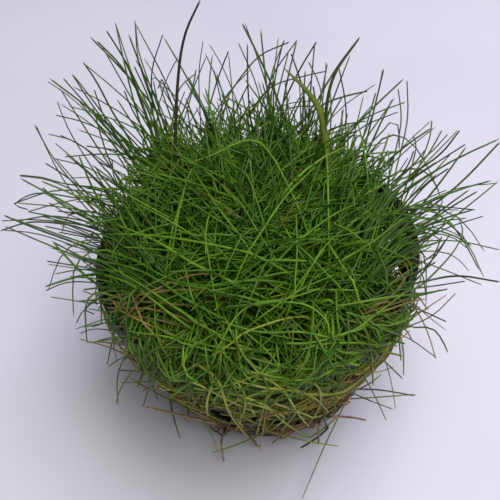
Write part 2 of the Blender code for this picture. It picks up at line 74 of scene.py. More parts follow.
# Single blades as pixels of the 500 by 500 picture, each from its tip down to where it sinks into the rest
THICK_DARK_BLADES: tuple[Trace, ...] = (
    ((97, 41), (121, 66), (144, 102), (153, 124)),
    ((83, 62), (96, 81), (112, 111), (122, 127)),
    ((242, 23), (258, 55), (274, 90), (287, 124)),
    ((360, 37), (338, 66), (320, 96), (314, 112)),
    ((500, 142), (457, 186), (402, 229)),
    ((3, 215), (37, 229), (80, 245), (122, 266)),
    ((304, 494), (326, 463), (328, 437), (324, 416)),
    ((368, 91), (346, 96), (326, 103), (312, 112)),
    ((317, 100), (305, 117), (280, 141), (272, 150)),
    ((313, 86), (315, 97), (318, 110)),
)
LEFT_BLADES: tuple[Trace, ...] = (
    ((106, 30), (126, 63), (140, 100), (147, 120)),
    ((115, 22), (128, 62), (150, 124)),
    ((135, 20), (139, 62), (158, 118)),
    ((136, 26), (140, 56), (163, 120)),
    ((163, 34), (152, 71), (153, 112)),
    ((47, 81), (75, 101), (114, 140)),
    ((63, 78), (85, 103), (124, 147)),
    ((72, 74), (93, 106), (118, 138)),
    ((57, 101), (69, 130), (89, 163), (112, 199)),
    ((55, 115), (83, 122), (110, 134)),
    ((34, 124), (54, 159), (86, 197), (120, 226)),
    ((48, 134), (77, 143), (118, 173)),
    ((60, 135), (86, 149), (111, 176)),
    ((55, 143), (77, 162), (101, 186)),
    ((64, 157), (102, 154), (132, 156)),
    ((45, 163), (64, 175), (96, 199)),
    ((19, 175), (45, 178), (61, 183), (98, 188)),
    ((19, 176), (51, 181), (108, 206)),
    ((42, 187), (67, 208), (120, 235)),
    ((13, 204), (53, 191), (90, 192), (110, 200)),
    ((29, 210), (13, 204), (18, 201), (40, 193), (88, 200)),
    ((27, 212), (64, 202), (118, 193)),
    ((48, 202), (72, 216), (122, 233)),
    ((0, 221), (42, 220), (110, 229)),
    ((0, 231), (32, 222), (74, 226), (98, 236)),
    ((2, 230), (42, 235), (104, 257)),
    ((53, 242), (80, 256), (110, 270)),
    ((46, 261), (77, 266), (112, 272)),
    ((124, 90), (132, 109), (147, 136)),
    ((94, 89), (104, 117), (113, 132)),
    ((45, 291), (70, 282), (112, 284)),
    ((18, 221), (50, 216), (84, 221), (112, 229)),
    ((40, 216), (66, 222), (116, 232)),
    ((44, 226), (72, 232), (120, 244)),
    ((58, 232), (80, 236), (104, 240)),
    ((52, 158), (86, 167), (112, 182)),
    ((86, 146), (113, 150), (134, 158)),
    ((112, 159), (114, 176), (122, 190)),
    ((90, 152), (98, 161), (122, 174)),
    ((92, 165), (107, 176), (124, 190)),
    ((69, 178), (98, 178), (122, 186)),
    ((76, 185), (98, 190), (122, 198)),
    ((76, 202), (98, 202), (120, 208)),
    ((134, 66), (147, 94), (153, 114)),
    ((136, 60), (153, 91), (166, 120)),
    ((131, 98), (154, 126), (165, 138)),
    ((151, 75), (165, 86), (190, 112)),
    ((158, 71), (165, 86), (174, 110)),
)
TOP_BLADES: tuple[Trace, ...] = (
    ((203, 41), (199, 73), (200, 112)),
    ((206, 57), (193, 90), (182, 128)),
    ((209, 44), (223, 68), (246, 124)),
    ((229, 50), (217, 81), (206, 122), (207, 140)),
    ((238, 42), (257, 87), (265, 130)),
    ((178, 57), (166, 81), (158, 110)),
    ((195, 74), (179, 90), (172, 124)),
    ((298, 39), (274, 73), (262, 106), (257, 126)),
    ((285, 39), (272, 73), (266, 114)),
    ((290, 42), (261, 55), (241, 77), (223, 104)),
    ((317, 41), (299, 71), (275, 120)),
    ((291, 53), (302, 86), (305, 106)),
    ((308, 61), (320, 87), (325, 126)),
    ((339, 68), (346, 109), (344, 156)),
    ((327, 71), (301, 77), (271, 87), (252, 110)),
    ((326, 62), (325, 80), (321, 116)),
    ((376, 84), (346, 104), (322, 128)),
    ((250, 70), (226, 96), (206, 130)),
    ((214, 70), (222, 108), (220, 128)),
    ((188, 76), (196, 92), (214, 126)),
    ((314, 101), (297, 102), (282, 106), (268, 115), (258, 126)),
    ((315, 107), (302, 106), (285, 110), (268, 122), (260, 132)),
    ((185, 91), (180, 104), (174, 124)),
    ((196, 69), (193, 86), (186, 104), (178, 124)),
)
RIGHT_BLADES: tuple[Trace, ...] = (
    ((383, 68), (373, 113), (350, 168)),
    ((376, 92), (362, 141), (356, 160)),
    ((398, 88), (401, 122), (392, 166)),
    ((407, 80), (407, 122), (394, 178)),
    ((406, 102), (374, 114), (336, 134)),
    ((398, 112), (368, 124), (354, 134)),
    ((399, 150), (399, 132), (394, 120), (381, 133), (356, 158)),
    ((432, 120), (429, 140), (416, 174)),
    ((442, 130), (427, 156), (404, 184)),
    ((448, 134), (429, 154), (404, 172)),
    ((460, 130), (438, 156), (396, 184)),
    ((466, 144), (430, 167), (400, 188)),
    ((449, 168), (427, 184), (404, 210)),
    ((500, 183), (456, 189), (402, 214)),
    ((478, 191), (453, 206), (420, 228)),
    ((476, 210), (438, 207), (396, 210)),
    ((456, 214), (425, 226), (398, 246)),
    ((484, 216), (445, 229), (396, 256)),
    ((459, 219), (463, 229), (454, 251), (424, 283), (408, 291)),
    ((500, 250), (457, 241), (417, 242), (400, 248)),
    ((450, 234), (433, 259), (406, 284)),
    ((442, 236), (429, 265), (404, 292)),
    ((413, 135), (416, 148), (408, 180)),
    ((482, 285), (442, 269), (410, 258)),
    ((500, 282), (456, 276), (414, 284)),
    ((466, 281), (434, 286), (400, 290)),
    ((448, 289), (432, 292), (400, 296)),
    ((456, 293), (430, 317), (394, 331), (381, 337)),
    ((442, 202), (436, 218), (428, 233), (412, 246)),
    ((437, 196), (428, 206), (398, 226)),
    ((444, 213), (428, 219), (404, 230)),
    ((438, 230), (426, 241), (406, 254)),
    ((452, 222), (436, 226), (402, 240)),
    ((440, 208), (424, 212), (402, 220)),
    ((446, 240), (434, 254), (404, 274)),
    ((436, 262), (422, 270), (404, 277)),
    ((432, 246), (418, 254), (400, 263)),
    ((428, 214), (414, 222), (396, 232)),
    ((414, 150), (408, 165), (390, 190)),
    ((425, 150), (414, 164), (400, 178)),
    ((408, 158), (400, 170), (388, 184)),
    ((396, 150), (390, 164), (380, 178)),
    ((388, 150), (382, 162), (372, 178)),
    ((420, 170), (408, 182), (392, 195)),
)
LOW_DARK_BLADES: tuple[Trace, ...] = (
    ((447, 322), (415, 308), (398, 306)),
    ((437, 358), (408, 338), (384, 330)),
    ((448, 353), (442, 340), (431, 328), (406, 328)),
    ((403, 379), (382, 359), (370, 350)),
    ((373, 376), (370, 365), (367, 352)),
    ((416, 396), (380, 390), (347, 389)),
    ((395, 410), (366, 399), (338, 386)),
    ((398, 346), (366, 344), (350, 343)),
    ((79, 334), (94, 329), (126, 332)),
    ((97, 341), (114, 337), (128, 336)),
    ((108, 367), (124, 357), (152, 352)),
    ((116, 405), (121, 388), (140, 362), (158, 348)),
    ((143, 407), (154, 373), (166, 356)),
    ((158, 400), (153, 383), (156, 352)),
    ((147, 370), (143, 353), (146, 342)),
    ((118, 370), (149, 372), (182, 372)),
    ((120, 383), (154, 381), (188, 374)),
    ((182, 438), (189, 414), (201, 392)),
    ((214, 451), (231, 422), (236, 408)),
    ((76, 324), (84, 310), (108, 291)),
)
BRIGHT_ARCS: tuple[Trace, ...] = (
    ((90, 248), (130, 258), (170, 279), (211, 286), (255, 280)),
    ((94, 272), (130, 284), (172, 315)),
    ((90, 234), (144, 235), (186, 240), (237, 250), (261, 258)),
    ((101, 219), (154, 240), (192, 263), (211, 272)),
    ((187, 180), (182, 196), (172, 232)),
    ((192, 168), (216, 205), (240, 236)),
    ((316, 166), (287, 195), (264, 228), (247, 255)),
    ((296, 213), (297, 250), (294, 294)),
    ((192, 168), (186, 184), (178, 216)),
    ((201, 224), (206, 244), (213, 286)),
    ((189, 163), (213, 155), (237, 143), (252, 140), (262, 144), (279, 168)),
    ((223, 158), (237, 168), (248, 177), (260, 211)),
    ((325, 249), (314, 262), (300, 288)),
    ((254, 228), (241, 238), (226, 269)),
    ((274, 231), (303, 250), (340, 288)),
    ((368, 210), (328, 243), (309, 270)),
    ((328, 243), (336, 256), (354, 284)),
    ((250, 140), (263, 146), (279, 168)),
    ((358, 203), (330, 217), (294, 244)),
    ((403, 218), (371, 243), (352, 254)),
    ((378, 246), (406, 259), (412, 270)),
    ((178, 308), (201, 324), (226, 340)),
    ((338, 306), (366, 301), (396, 296)),
    ((412, 286), (391, 303), (356, 329)),
    ((171, 280), (197, 287), (247, 298)),
    ((96, 258), (138, 283), (179, 310), (202, 326)),
    ((101, 261), (143, 272), (186, 299)),
    ((128, 229), (120, 242), (113, 252)),
    ((184, 264), (189, 286), (192, 297)),
    ((186, 216), (192, 226), (212, 243)),
    ((230, 194), (240, 202), (257, 230)),
    ((235, 283), (249, 280), (281, 273)),
    ((267, 261), (261, 272), (252, 294)),
    ((339, 273), (302, 289), (262, 316)),
    ((323, 120), (327, 162), (328, 191)),
)
FRONT_ARCS: tuple[Trace, ...] = (
    ((280, 300), (254, 304), (235, 318), (216, 352)),
    ((220, 321), (259, 332), (301, 332), (330, 338)),
    ((245, 332), (263, 347), (278, 364)),
    ((146, 315), (164, 332), (191, 341), (219, 347)),
    ((125, 331), (168, 337), (186, 344)),
    ((270, 301), (306, 305), (326, 320), (329, 333)),
    ((285, 343), (315, 342), (362, 328)),
    ((300, 350), (324, 344), (356, 343), (381, 346)),
    ((316, 347), (329, 352), (350, 363)),
    ((246, 356), (280, 366), (311, 369), (350, 363)),
    ((345, 312), (364, 318), (383, 330)),
    ((195, 341), (191, 351), (179, 369)),
    ((262, 379), (304, 380), (322, 376)),
    ((336, 290), (337, 316), (339, 330)),
)
YELLOW_BLADES: tuple[Trace, ...] = (
    ((173, 377), (203, 361), (223, 349), (250, 330)),
    ((193, 388), (207, 390), (233, 384), (256, 376)),
    ((241, 382), (266, 388), (289, 390), (308, 394)),
    ((208, 416), (207, 402), (214, 380)),
    ((262, 452), (232, 417), (220, 384)),
    ((341, 446), (299, 432), (263, 404)),
    ((328, 412), (316, 399), (296, 389)),
    ((312, 430), (300, 416), (284, 390)),
    ((226, 406), (239, 400), (264, 391)),
    ((236, 398), (250, 403), (276, 411)),
    ((236, 431), (245, 407), (245, 393)),
    ((274, 403), (294, 410), (313, 417)),
    ((256, 437), (259, 425), (266, 398)),
    ((281, 431), (290, 420), (299, 408)),
    ((189, 381), (201, 386), (226, 399)),
    ((308, 425), (317, 412), (321, 398), (317, 385)),
)
BROWNED_BLADES: tuple[Trace, ...] = (
    ((104, 301), (116, 297), (142, 290)),
    ((107, 308), (122, 308), (150, 309)),
    ((110, 314), (121, 306), (145, 294)),
    ((113, 300), (120, 310), (143, 322)),
    ((118, 293), (127, 314), (124, 324)),
    ((109, 304), (120, 303), (148, 302)),
    ((116, 320), (128, 316), (154, 319)),
    ((131, 292), (139, 313), (145, 325)),
    ((121, 324), (130, 312), (150, 292)),
    ((428, 293), (414, 297), (390, 305)),
    ((425, 299), (410, 302), (384, 311)),
    ((420, 307), (406, 308), (382, 318)),
    ((404, 262), (408, 273), (394, 294)),
    ((398, 270), (404, 282), (386, 300)),
)

# Where the picture shows the bare collar, as spans of the angle about the pot's axis in degrees
BARE_COLLAR: tuple[Span, ...] = ((-178.0, -136.0), (-18.0, 0.0))

# Paths of the stout stems in millimetres, each from its foot
STALK: Path = (
    (-13, 4, 26.5), (-12.8, 5, 32), (-12.5, 6, 37), (-11.4, 8, 45),
    (-9.3, 11, 57), (-7.2, 13, 64.5), (-4, 14, 70),
)
BROAD: Path = ((12, 2, 26.5), (12.3, 3, 34), (12.6, 4, 40), (12.2, 7, 51), (10.6, 8, 55.5), (7, 10, 59.5))
BROAD_FORK: Path = ((12.5, 4.6, 43), (12.5, 6.8, 50), (14.2, 9.5, 57), (18.7, 12, 62))


def paint(shade: Shade) -> tuple[float, ...]:
    """Gives the linear colour, with an alpha of 1, of a shade whose tones run from 0 to 255."""
    shown = [tone / 255.0 for tone in shade]
    return (*(c / 12.92 if c <= 0.04045 else ((c + 0.055) / 1.055) ** 2.4 for c in shown), 1.0)


class Draft:
    """Lays out the nodes of one material or node group."""

    def __init__(self, tree: bpy.types.NodeTree, end: bpy.types.Node) -> None:
        """Takes the tree that the nodes go into, and the node that its results feed."""
        self.tree, self.end = tree, end

    def fill(self, node: bpy.types.Node, inputs: dict) -> None:
        """Fills the inputs of a node.

        Args:
            node: The node.
            inputs: A value, or the socket that feeds it, for each input by name or number.
        """
        for name, value in inputs.items():
            if isinstance(value, Socket):
                self.tree.links.new(value, node.inputs[name])
            else:
                node.inputs[name].default_value = value

    def feed(self, inputs: dict) -> None:
        """Fills the inputs of the last node."""
        self.fill(self.end, inputs)

    def add(self, kind: str, inputs: dict, **settings: object) -> bpy.types.Node:
        """Adds one node.

        Args:
            kind: Blender's name of the node's type.
            inputs: A value, or the socket that feeds it, for each input by name or number.
            settings: Values of the node's own properties.

        Returns:
            The new node.
        """
        node = self.tree.nodes.new(kind)
        for name, value in settings.items():
            setattr(node, name, value)
        self.fill(node, inputs)
        return node

    def sum_of(self, first: object, operation: str, second: object, clamp: bool = False) -> Socket:
        """Joins two numbers or sockets by one operation, and keeps the result within 0 to 1 if asked."""
        node = self.add("ShaderNodeMath", {0: first, 1: second}, operation=operation, use_clamp=clamp)
        return node.outputs[0]

    def ramp(self, value: Socket, low: float, high: float) -> Socket:
        """Stretches the values from low to high smoothly over 0 to 1."""
        inputs = {"Value": value, "From Min": low, "From Max": high}
        return self.add("ShaderNodeMapRange", inputs, interpolation_type="SMOOTHSTEP").outputs["Result"]

    def blend(self, share: object, first: object, second: object) -> Socket:
        """Mixes two shades or sockets, where the share is how much of the second one is taken."""
        one, other = (end if isinstance(end, Socket) else paint(end) for end in (first, second))
        return self.add("ShaderNodeMix", {0: share, 6: one, 7: other}, data_type="RGBA").outputs[2]

    def place(self) -> Socket:
        """Gives the place on the object that a pattern reads."""
        return self.add("ShaderNodeTexCoord", {}).outputs["Object"]

    def attribute(self, name: str) -> Socket:
        """Gives a number that the mesh carries at each point."""
        return self.add("ShaderNodeAttribute", {}, attribute_name=name).outputs["Fac"]

    def clouds(self, place: Socket, scale: object, detail: object) -> Socket:
        """Gives a cloudy pattern."""
        inputs = {"Vector": place, "Scale": scale, "Detail": detail}
        return self.add("ShaderNodeTexNoise", inputs).outputs["Fac"]


def new_group(name: str, numbers: dict[str, float], output: str) -> tuple[Draft, dict[str, Socket]]:
    """Starts a shader node group whose inputs and output are numbers.

    Args:
        name: Name of the group.
        numbers: The default value of each input.
        output: Name of the output.

    Returns:
        The draft of its tree, and its input sockets by name.
    """
    tree = bpy.data.node_groups.new(name, "ShaderNodeTree")
    for number, value in numbers.items():
        tree.interface.new_socket(number, in_out="INPUT", socket_type="NodeSocketFloat").default_value = value
    tree.interface.new_socket(output, in_out="OUTPUT", socket_type="NodeSocketFloat")
    entry = tree.nodes.new("NodeGroupInput")
    given = {number: entry.outputs[number] for number in numbers}
    return Draft(tree, tree.nodes.new("NodeGroupOutput")), given


class SharedEffects:
    """The node groups that several materials use: soft patches of tone, and a grain."""

    def __init__(self) -> None:
        """Builds each group once; the grain is fine, with a coarser unevenness under it."""
        draft, given = new_group("soft_mottle", {"Scale": 200.0, "Detail": 3.0}, "Tone")
        clouds = draft.clouds(draft.place(), given["Scale"], given["Detail"])
        draft.feed({"Tone": draft.ramp(clouds, 0.32, 0.68)})
        self.mottle = draft.tree
        draft, given = new_group("fine_grain", {"Scale": 4000.0, "Coarse share": 0.3}, "Height")
        spot = draft.place()
        fine = draft.clouds(spot, given["Scale"], 2.0)
        coarse = draft.clouds(spot, draft.sum_of(given["Scale"], "MULTIPLY", 0.12), 2.0)
        mixed = draft.add("ShaderNodeMix", {0: given["Coarse share"], 2: fine, 3: coarse}, data_type="FLOAT")
        draft.feed({"Height": mixed.outputs[0]})
        self.grain = draft.tree


class Surface(Draft):
    """The draft of one material, whose last node is a plain shader."""

    def __init__(self, name: str, effects: SharedEffects) -> None:
        """Starts the material."""
        self.material, self.effects = bpy.data.materials.new(name), effects
        self.material.use_nodes = True
        super().__init__(self.material.node_tree, self.material.node_tree.nodes["Principled BSDF"])

    def mottle(self, scale: float, detail: float) -> Socket:
        """Gives soft patches of tone, from 0 to 1."""
        inputs = {"Scale": scale, "Detail": detail}
        return self.add("ShaderNodeGroup", inputs, node_tree=self.effects.mottle).outputs["Tone"]

    def grain(self, scale: float, coarse_share: float, depth: float, strength: float) -> Socket:
        """Raises a grain on the surface.

        Args:
            scale: How fine it is.
            coarse_share: How much of it is the coarser unevenness.
            depth: Real depth of the relief, in metres.
            strength: How strongly it shows, from 0 to 1.

        Returns:
            The grain's height, from 0 to 1.
        """
        inputs = {"Scale": scale, "Coarse share": coarse_share}
        height = self.add("ShaderNodeGroup", inputs, node_tree=self.effects.grain).outputs["Height"]
        bump = self.add("ShaderNodeBump", {"Height": height, "Distance": depth, "Strength": strength})
        self.feed({"Normal": bump.outputs["Normal"]})
        return height


@dataclass(frozen=True)
class Finish:
    """What a piece is finished with."""

    name: str

    def dress(self, draft: Surface) -> dict:
        """Gives the inputs of the shader, by name."""
        raise NotImplementedError

    def material(self, effects: SharedEffects) -> bpy.types.Material:
        """Builds the material.

        Args:
            effects: The shared node groups.

        Returns:
            The material.
        """
        draft = Surface(self.name, effects)
        draft.feed(self.dress(draft))
        return draft.material


@dataclass(frozen=True)
class BladeFinish(Finish):
    """Living blades with deep and bright tones, a foot, a tip tone, and old ones among them; in the green
    finish and its darker copy the tip tone is painted shade of backlit tips.

    The blades' points carry tint, along and age.
    """

    deep: Shade
    bright: Shade
    foot: Shade
    tip: Shade
    old: Shade
    foot_end: float = 0.30
    roughness: float = 0.4
    shine: float = 0.3

    def dress(self, draft: Surface) -> dict:
        """Gives the inputs of the shader.

        Args:
            draft: The material's draft.

        Returns:
            A value or socket for each input, by name.
        """
        tint, along, age = (draft.attribute(name) for name in ("tint", "along", "age"))
        drift = draft.sum_of(draft.sum_of(draft.mottle(420.0, 3.0), "SUBTRACT", 0.5), "MULTIPLY", 0.35)
        tone = draft.blend(draft.sum_of(tint, "ADD", drift, clamp=True), self.deep, self.bright)
        risen = draft.blend(draft.ramp(along, 0.02, self.foot_end), self.foot, tone)
        # Towards the tip the tone turns to the tip tone; in the green finish and its darker copy that is
        # painted shade of tips seen backlit.
        ended = draft.blend(draft.sum_of(draft.ramp(along, 0.72, 1.0), "MULTIPLY", 0.55), risen, self.tip)
        uneven = draft.sum_of(draft.grain(6000.0, 0.5, 0.04 * MM, 0.5), "MULTIPLY", 0.2)
        return {
            "Base Color": draft.blend(age, ended, self.old),
            "Roughness": draft.sum_of(uneven, "ADD", self.roughness),
            "Specular IOR Level": self.shine,
        }


@dataclass(frozen=True)
class PlasticFinish(Finish):
    """Moulded plastic with a fine grain, worn paler in patches, with traces of dried substrate."""

    fresh: Shade
    worn: Shade
    dust: Shade
    shine: float = 0.35

    def dress(self, draft: Surface) -> dict:
        """Gives the inputs of the shader.

        Args:
            draft: The material's draft.

        Returns:
            A value or socket for each input, by name.
        """
        wear = draft.mottle(160.0, 5.0)
        body = draft.blend(draft.sum_of(wear, "MULTIPLY", 0.5), self.fresh, self.worn)
        patches = draft.sum_of(draft.ramp(draft.mottle(700.0, 6.0), 0.72, 1.0), "MULTIPLY", 0.22)
        draft.grain(3500.0, 0.25, 0.06 * MM, 0.5)
        return {
            "Base Color": draft.blend(patches, body, self.dust),
            "Roughness": draft.sum_of(draft.sum_of(wear, "MULTIPLY", 0.22), "ADD", 0.44),
            "Specular IOR Level": self.shine,
        }


@dataclass(frozen=True)
class FibreFinish(Finish):
    """Matt fibrous stuff in two tones with darker wet patches, which moss covers over a span of heights."""

    dark: Shade
    pale: Shade
    wet: Shade
    roughness: float
    overgrown: Span = (1.0, 2.0)
    moss: Shade = (26, 56, 10)
    patch_scale: float = 300.0

    def dress(self, draft: Surface) -> dict:
        """Gives the inputs of the shader.

        Args:
            draft: The material's draft.

        Returns:
            A value or socket for each input, by name.
        """
        fine, damp = draft.mottle(self.patch_scale * 3.0, 5.0), draft.mottle(self.patch_scale, 2.0)
        half = draft.sum_of(draft.sum_of(draft.attribute("tint"), "ADD", fine), "MULTIPLY", 0.5, clamp=True)
        soaked = draft.blend(draft.ramp(damp, 0.55, 0.95), draft.blend(half, self.dark, self.pale), self.wet)
        height = draft.add("ShaderNodeSeparateXYZ", {0: draft.place()}).outputs["Z"]
        draft.grain(2600.0, 0.4, 0.15 * MM, 0.8)
        return {
            "Base Color": draft.blend(draft.ramp(height, *self.overgrown), soaked, self.moss),
            "Roughness": draft.sum_of(self.roughness, "SUBTRACT", draft.sum_of(damp, "MULTIPLY", 0.25)),
        }


@dataclass(frozen=True)
class TableFinish(Finish):
    """A pale matt table top."""

    pale: Shade
    faint: Shade

    def dress(self, draft: Surface) -> dict:
        """Gives the inputs of the shader, by name."""
        return {"Base Color": draft.blend(draft.mottle(12.0, 2.0), self.pale, self.faint), "Roughness": 0.55}


class Look(Enum):
    """The finishes that are used."""

    # The grey-green tip tone here is painted shade of tips seen backlit against the table.
    GREEN = BladeFinish(
        "green_blades", (28, 78, 4), (112, 154, 34), (70, 104, 16), (84, 114, 30), (126, 108, 50)
    )
    # A darker, greyer copy of the green blades: painted shade for fringe blades seen backlit against the
    # table.
    SHADE_PAINTED = BladeFinish(
        "shade_painted_blades", (44, 66, 20), (84, 112, 40), (66, 102, 24), (56, 62, 40), (110, 98, 60), foot_end=0.55
    )
    YELLOWED = BladeFinish(
        "yellowed_blades", (112, 128, 36), (168, 176, 76), (100, 108, 40), (160, 156, 86), (170, 140, 80)
    )
    BROWNED = BladeFinish(
        "browned_blades", (78, 70, 30), (140, 122, 66), (58, 50, 22), (130, 112, 64), (120, 92, 54)
    )
    BROAD = BladeFinish(
        "broad_blade", (62, 76, 26), (118, 132, 42), (92, 116, 32), (72, 66, 44), (120, 104, 60)
    )
    OLIVE = BladeFinish(
        "olive_blades", (76, 92, 20), (176, 178, 58), (124, 120, 46), (156, 152, 74), (158, 130, 74)
    )
    BARK = BladeFinish(
        "brown_stalk", (40, 34, 34), (70, 58, 54), (118, 68, 40), (44, 40, 40), (90, 60, 44), foot_end=0.75
    )
    ROOTS = FibreFinish("tan_roots", (112, 84, 56), (178, 142, 104), (92, 70, 46), 0.75)
    WOOL = FibreFinish(
        "matted_wool", (52, 44, 28), (104, 86, 56), (38, 34, 22), 0.95, overgrown=(0.0225, 0.0262)
    )
    PLASTIC = PlasticFinish("black_moulded_plastic", (19, 19, 20), (38, 38, 39), (118, 108, 96))
    TABLE = TableFinish("pale_table", (226, 224, 240), (220, 218, 236))


@dataclass(frozen=True)
class PotForm:
    """Sizes of the basket, in metres, and how far blades keep clear of it."""

    rim_radius: float = 0.0260
    base_radius: float = 0.0143
    height: float = 0.0330
    wall: float = 0.0011
    collar_bottom: float = 0.0272
    collar_step: float = 0.0005
    collar_radius: float = 0.0254
    wall_top_radius: float = 0.0248
    base_chamfer: float = 0.0010
    lower_slots: Span = (0.0045, 0.0140)
    upper_slots: Span = (0.0166, 0.0262)
    rib_count: int = 16
    turn: float = math.radians(4.0)
    plug_top: float = 0.0268
    bare_foot: float = 0.0060
    gap: float = 0.35 * MM

    def wall_radius(self, height: np.ndarray | float) -> np.ndarray | float:
        """Gives the outer radius of the tapered wall at one height or many."""
        share = np.clip(np.asarray(height) / self.collar_bottom, 0.0, 1.0)
        return self.base_radius + (self.wall_top_radius - self.base_radius) * share


def smooth_line(points: np.ndarray, shares: np.ndarray) -> np.ndarray:
    """Gives points on a smooth curve through a few points.

    Args:
        points: The points that the curve passes through, one row each.
        shares: Where on the curve the new points lie, from 0 at its start to 1 at its end.

    Returns:
        The new points, one row each.
    """
    padded = np.vstack([2.0 * points[0] - points[1], points, 2.0 * points[-1] - points[-2]])
    spans = len(points) - 1
    position = np.clip(shares, 0.0, 1.0) * spans
    first = np.minimum(position.astype(int), spans - 1)
    t = (position - first)[:, None]
    a, b, c, d = (padded[first + number] for number in range(4))
    cubic = (3.0 * b - a - 3.0 * c + d) * t**3
    return 0.5 * (2.0 * b + (c - a) * t + (2.0 * a - 5.0 * b + 4.0 * c - d) * t**2 + cubic)


def even_line(points: np.ndarray, shares: np.ndarray) -> np.ndarray:
    """Gives points on a smooth curve as smooth_line does, but spread by the distance along it."""
    gone = np.concatenate([[0.0], np.cumsum(np.linalg.norm(np.diff(points, axis=0), axis=1))])
    return smooth_line(points, np.interp(shares * gone[-1], gone, np.linspace(0.0, 1.0, len(points))))


def unit(vectors: np.ndarray) -> np.ndarray:
    """Scales one vector, or a row of them each, to a length of 1."""
    return vectors / np.maximum(np.linalg.norm(vectors, axis=-1, keepdims=True), 1e-12)


def scatter(chance: random.Random, reach: float = 1.0) -> np.ndarray:
    """Gives a vector of no certain direction, of about the given length."""
    return np.array([chance.gauss(0.0, reach / math.sqrt(3.0)) for _ in range(3)])


def around(radius: float, angle: float, height: float) -> np.ndarray:
    """Gives the point at a radius, an angle and a height about the pot's axis."""
    return np.array((radius * math.cos(angle), radius * math.sin(angle), height))


def reach_of(points: np.ndarray) -> np.ndarray:
    """Gives how far each of a row of points lies from the pot's axis."""
    return np.linalg.norm(points[:, :2], axis=1)


def follow(tip: bmesh.types.BMVert) -> np.ndarray:
    """Walks from a lock's tip over rings of three points, down to where they join the crown.

    Args:
        tip: The point at the lock's tip.

    Returns:
        The middle of each ring, from the crown to the tip.
    """
    ring = [edge.other_vert(tip) for edge in tip.link_edges]
    seen = {tip, *ring}
    line = [np.array(tip.co)]
    while len(ring) == 3:
        line.append(np.mean([vertex.co for vertex in ring], axis=0))
        ring = [edge.other_vert(vertex) for vertex in ring for edge in vertex.link_edges]
        ring = [vertex for vertex in dict.fromkeys(ring) if vertex not in seen]
        seen.update(ring)
    return np.array(line[::-1])


def lock_lines(node: str) -> list[np.ndarray]:
    """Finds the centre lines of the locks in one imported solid.

    Args:
        node: Name of the solid.

    Returns:
        One array of points for each lock, from its foot to its tip.
    """
    shape = bmesh.new()
    shape.from_mesh(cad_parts[node].data)
    bmesh.ops.remove_doubles(shape, verts=shape.verts, dist=0.002 * MM)
    found = [follow(tip) for tip in shape.verts if len(tip.link_edges) == 3]
    shape.free()
    return found


def points_of(mesh: bpy.types.Mesh) -> np.ndarray:
    """Gives the places of a mesh's points, one row each."""
    places = np.zeros(len(mesh.vertices) * 3)
    mesh.vertices.foreach_get("co", places)
    return places.reshape(-1, 3)


def placed(name: str, data: bpy.types.ID) -> bpy.types.Object:
    """Puts a mesh, a lamp or a camera into the scene.

    Args:
        name: Name of the object.
        data: The mesh, lamp or camera.

    Returns:
        The object.
    """
    thing = bpy.data.objects.new(name, data)
    bpy.context.scene.collection.objects.link(thing)
    return thing


def made(name: str, shape: bmesh.types.BMesh, material: bpy.types.Material) -> bpy.types.Object:
    """Makes an object of a shape, and frees the shape.

    Args:
        name: Name of the object.
        shape: The shape.
        material: What it is finished with.

    Returns:
        The object.
    """
    mesh = bpy.data.meshes.new(name)
    shape.to_mesh(mesh)
    shape.free()
    mesh.materials.append(material)
    return placed(name, mesh)


def settle(thing: bpy.types.Object, slot: str, *nodes: str) -> None:
    """Gives a finished piece its body, and hides the solids that it stands for.

    Args:
        thing: The piece.
        slot: The record's material slot; not used.
        nodes: The solids that it stands for.
    """
    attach(thing, "root")
    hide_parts(*nodes)
    thing.data.calc_loop_triangles()
    LOG.info("%s: %d triangles", thing.name, len(thing.data.loop_triangles))


def turn_profile(shape: bmesh.types.BMesh, profile: list[Span], columns: int) -> None:
    """Turns a profile about the pot's axis, and sorts the skin, whose order the turn leaves open.

    Args:
        shape: What the turned skin is added to.
        profile: The profile's points as (radius, height).
        columns: How many columns of faces go round.
    """
    points = [shape.verts.new((radius, 0.0, height)) for radius, height in profile]
    edges = [shape.edges.new(pair) for pair in zip(points, points[1:])]
    way = {"cent": (0, 0, 0), "axis": (0, 0, 1), "angle": math.tau, "steps": columns}
    bmesh.ops.spin(shape, geom=points + edges, use_merge=True, **way)
    shape.verts.index_update()
    count = len(shape.verts)

    def order(part: bmesh.types.BMEdge | bmesh.types.BMFace) -> float:
        """Gives a number that stands for the part's first corners."""
        corners = sorted(vertex.index for vertex in part.verts)[:3]
        return float(sum(corner * count ** (2 - place) for place, corner in enumerate(corners)))

    for parts in (shape.edges, shape.faces):
        parts.sort(key=order)


@dataclass
class Blade:
    """One thin blade, thread or stalk: a line, its thickness and its tone."""

    line: np.ndarray
    width: float
    tint: float
    age: float = 0.0


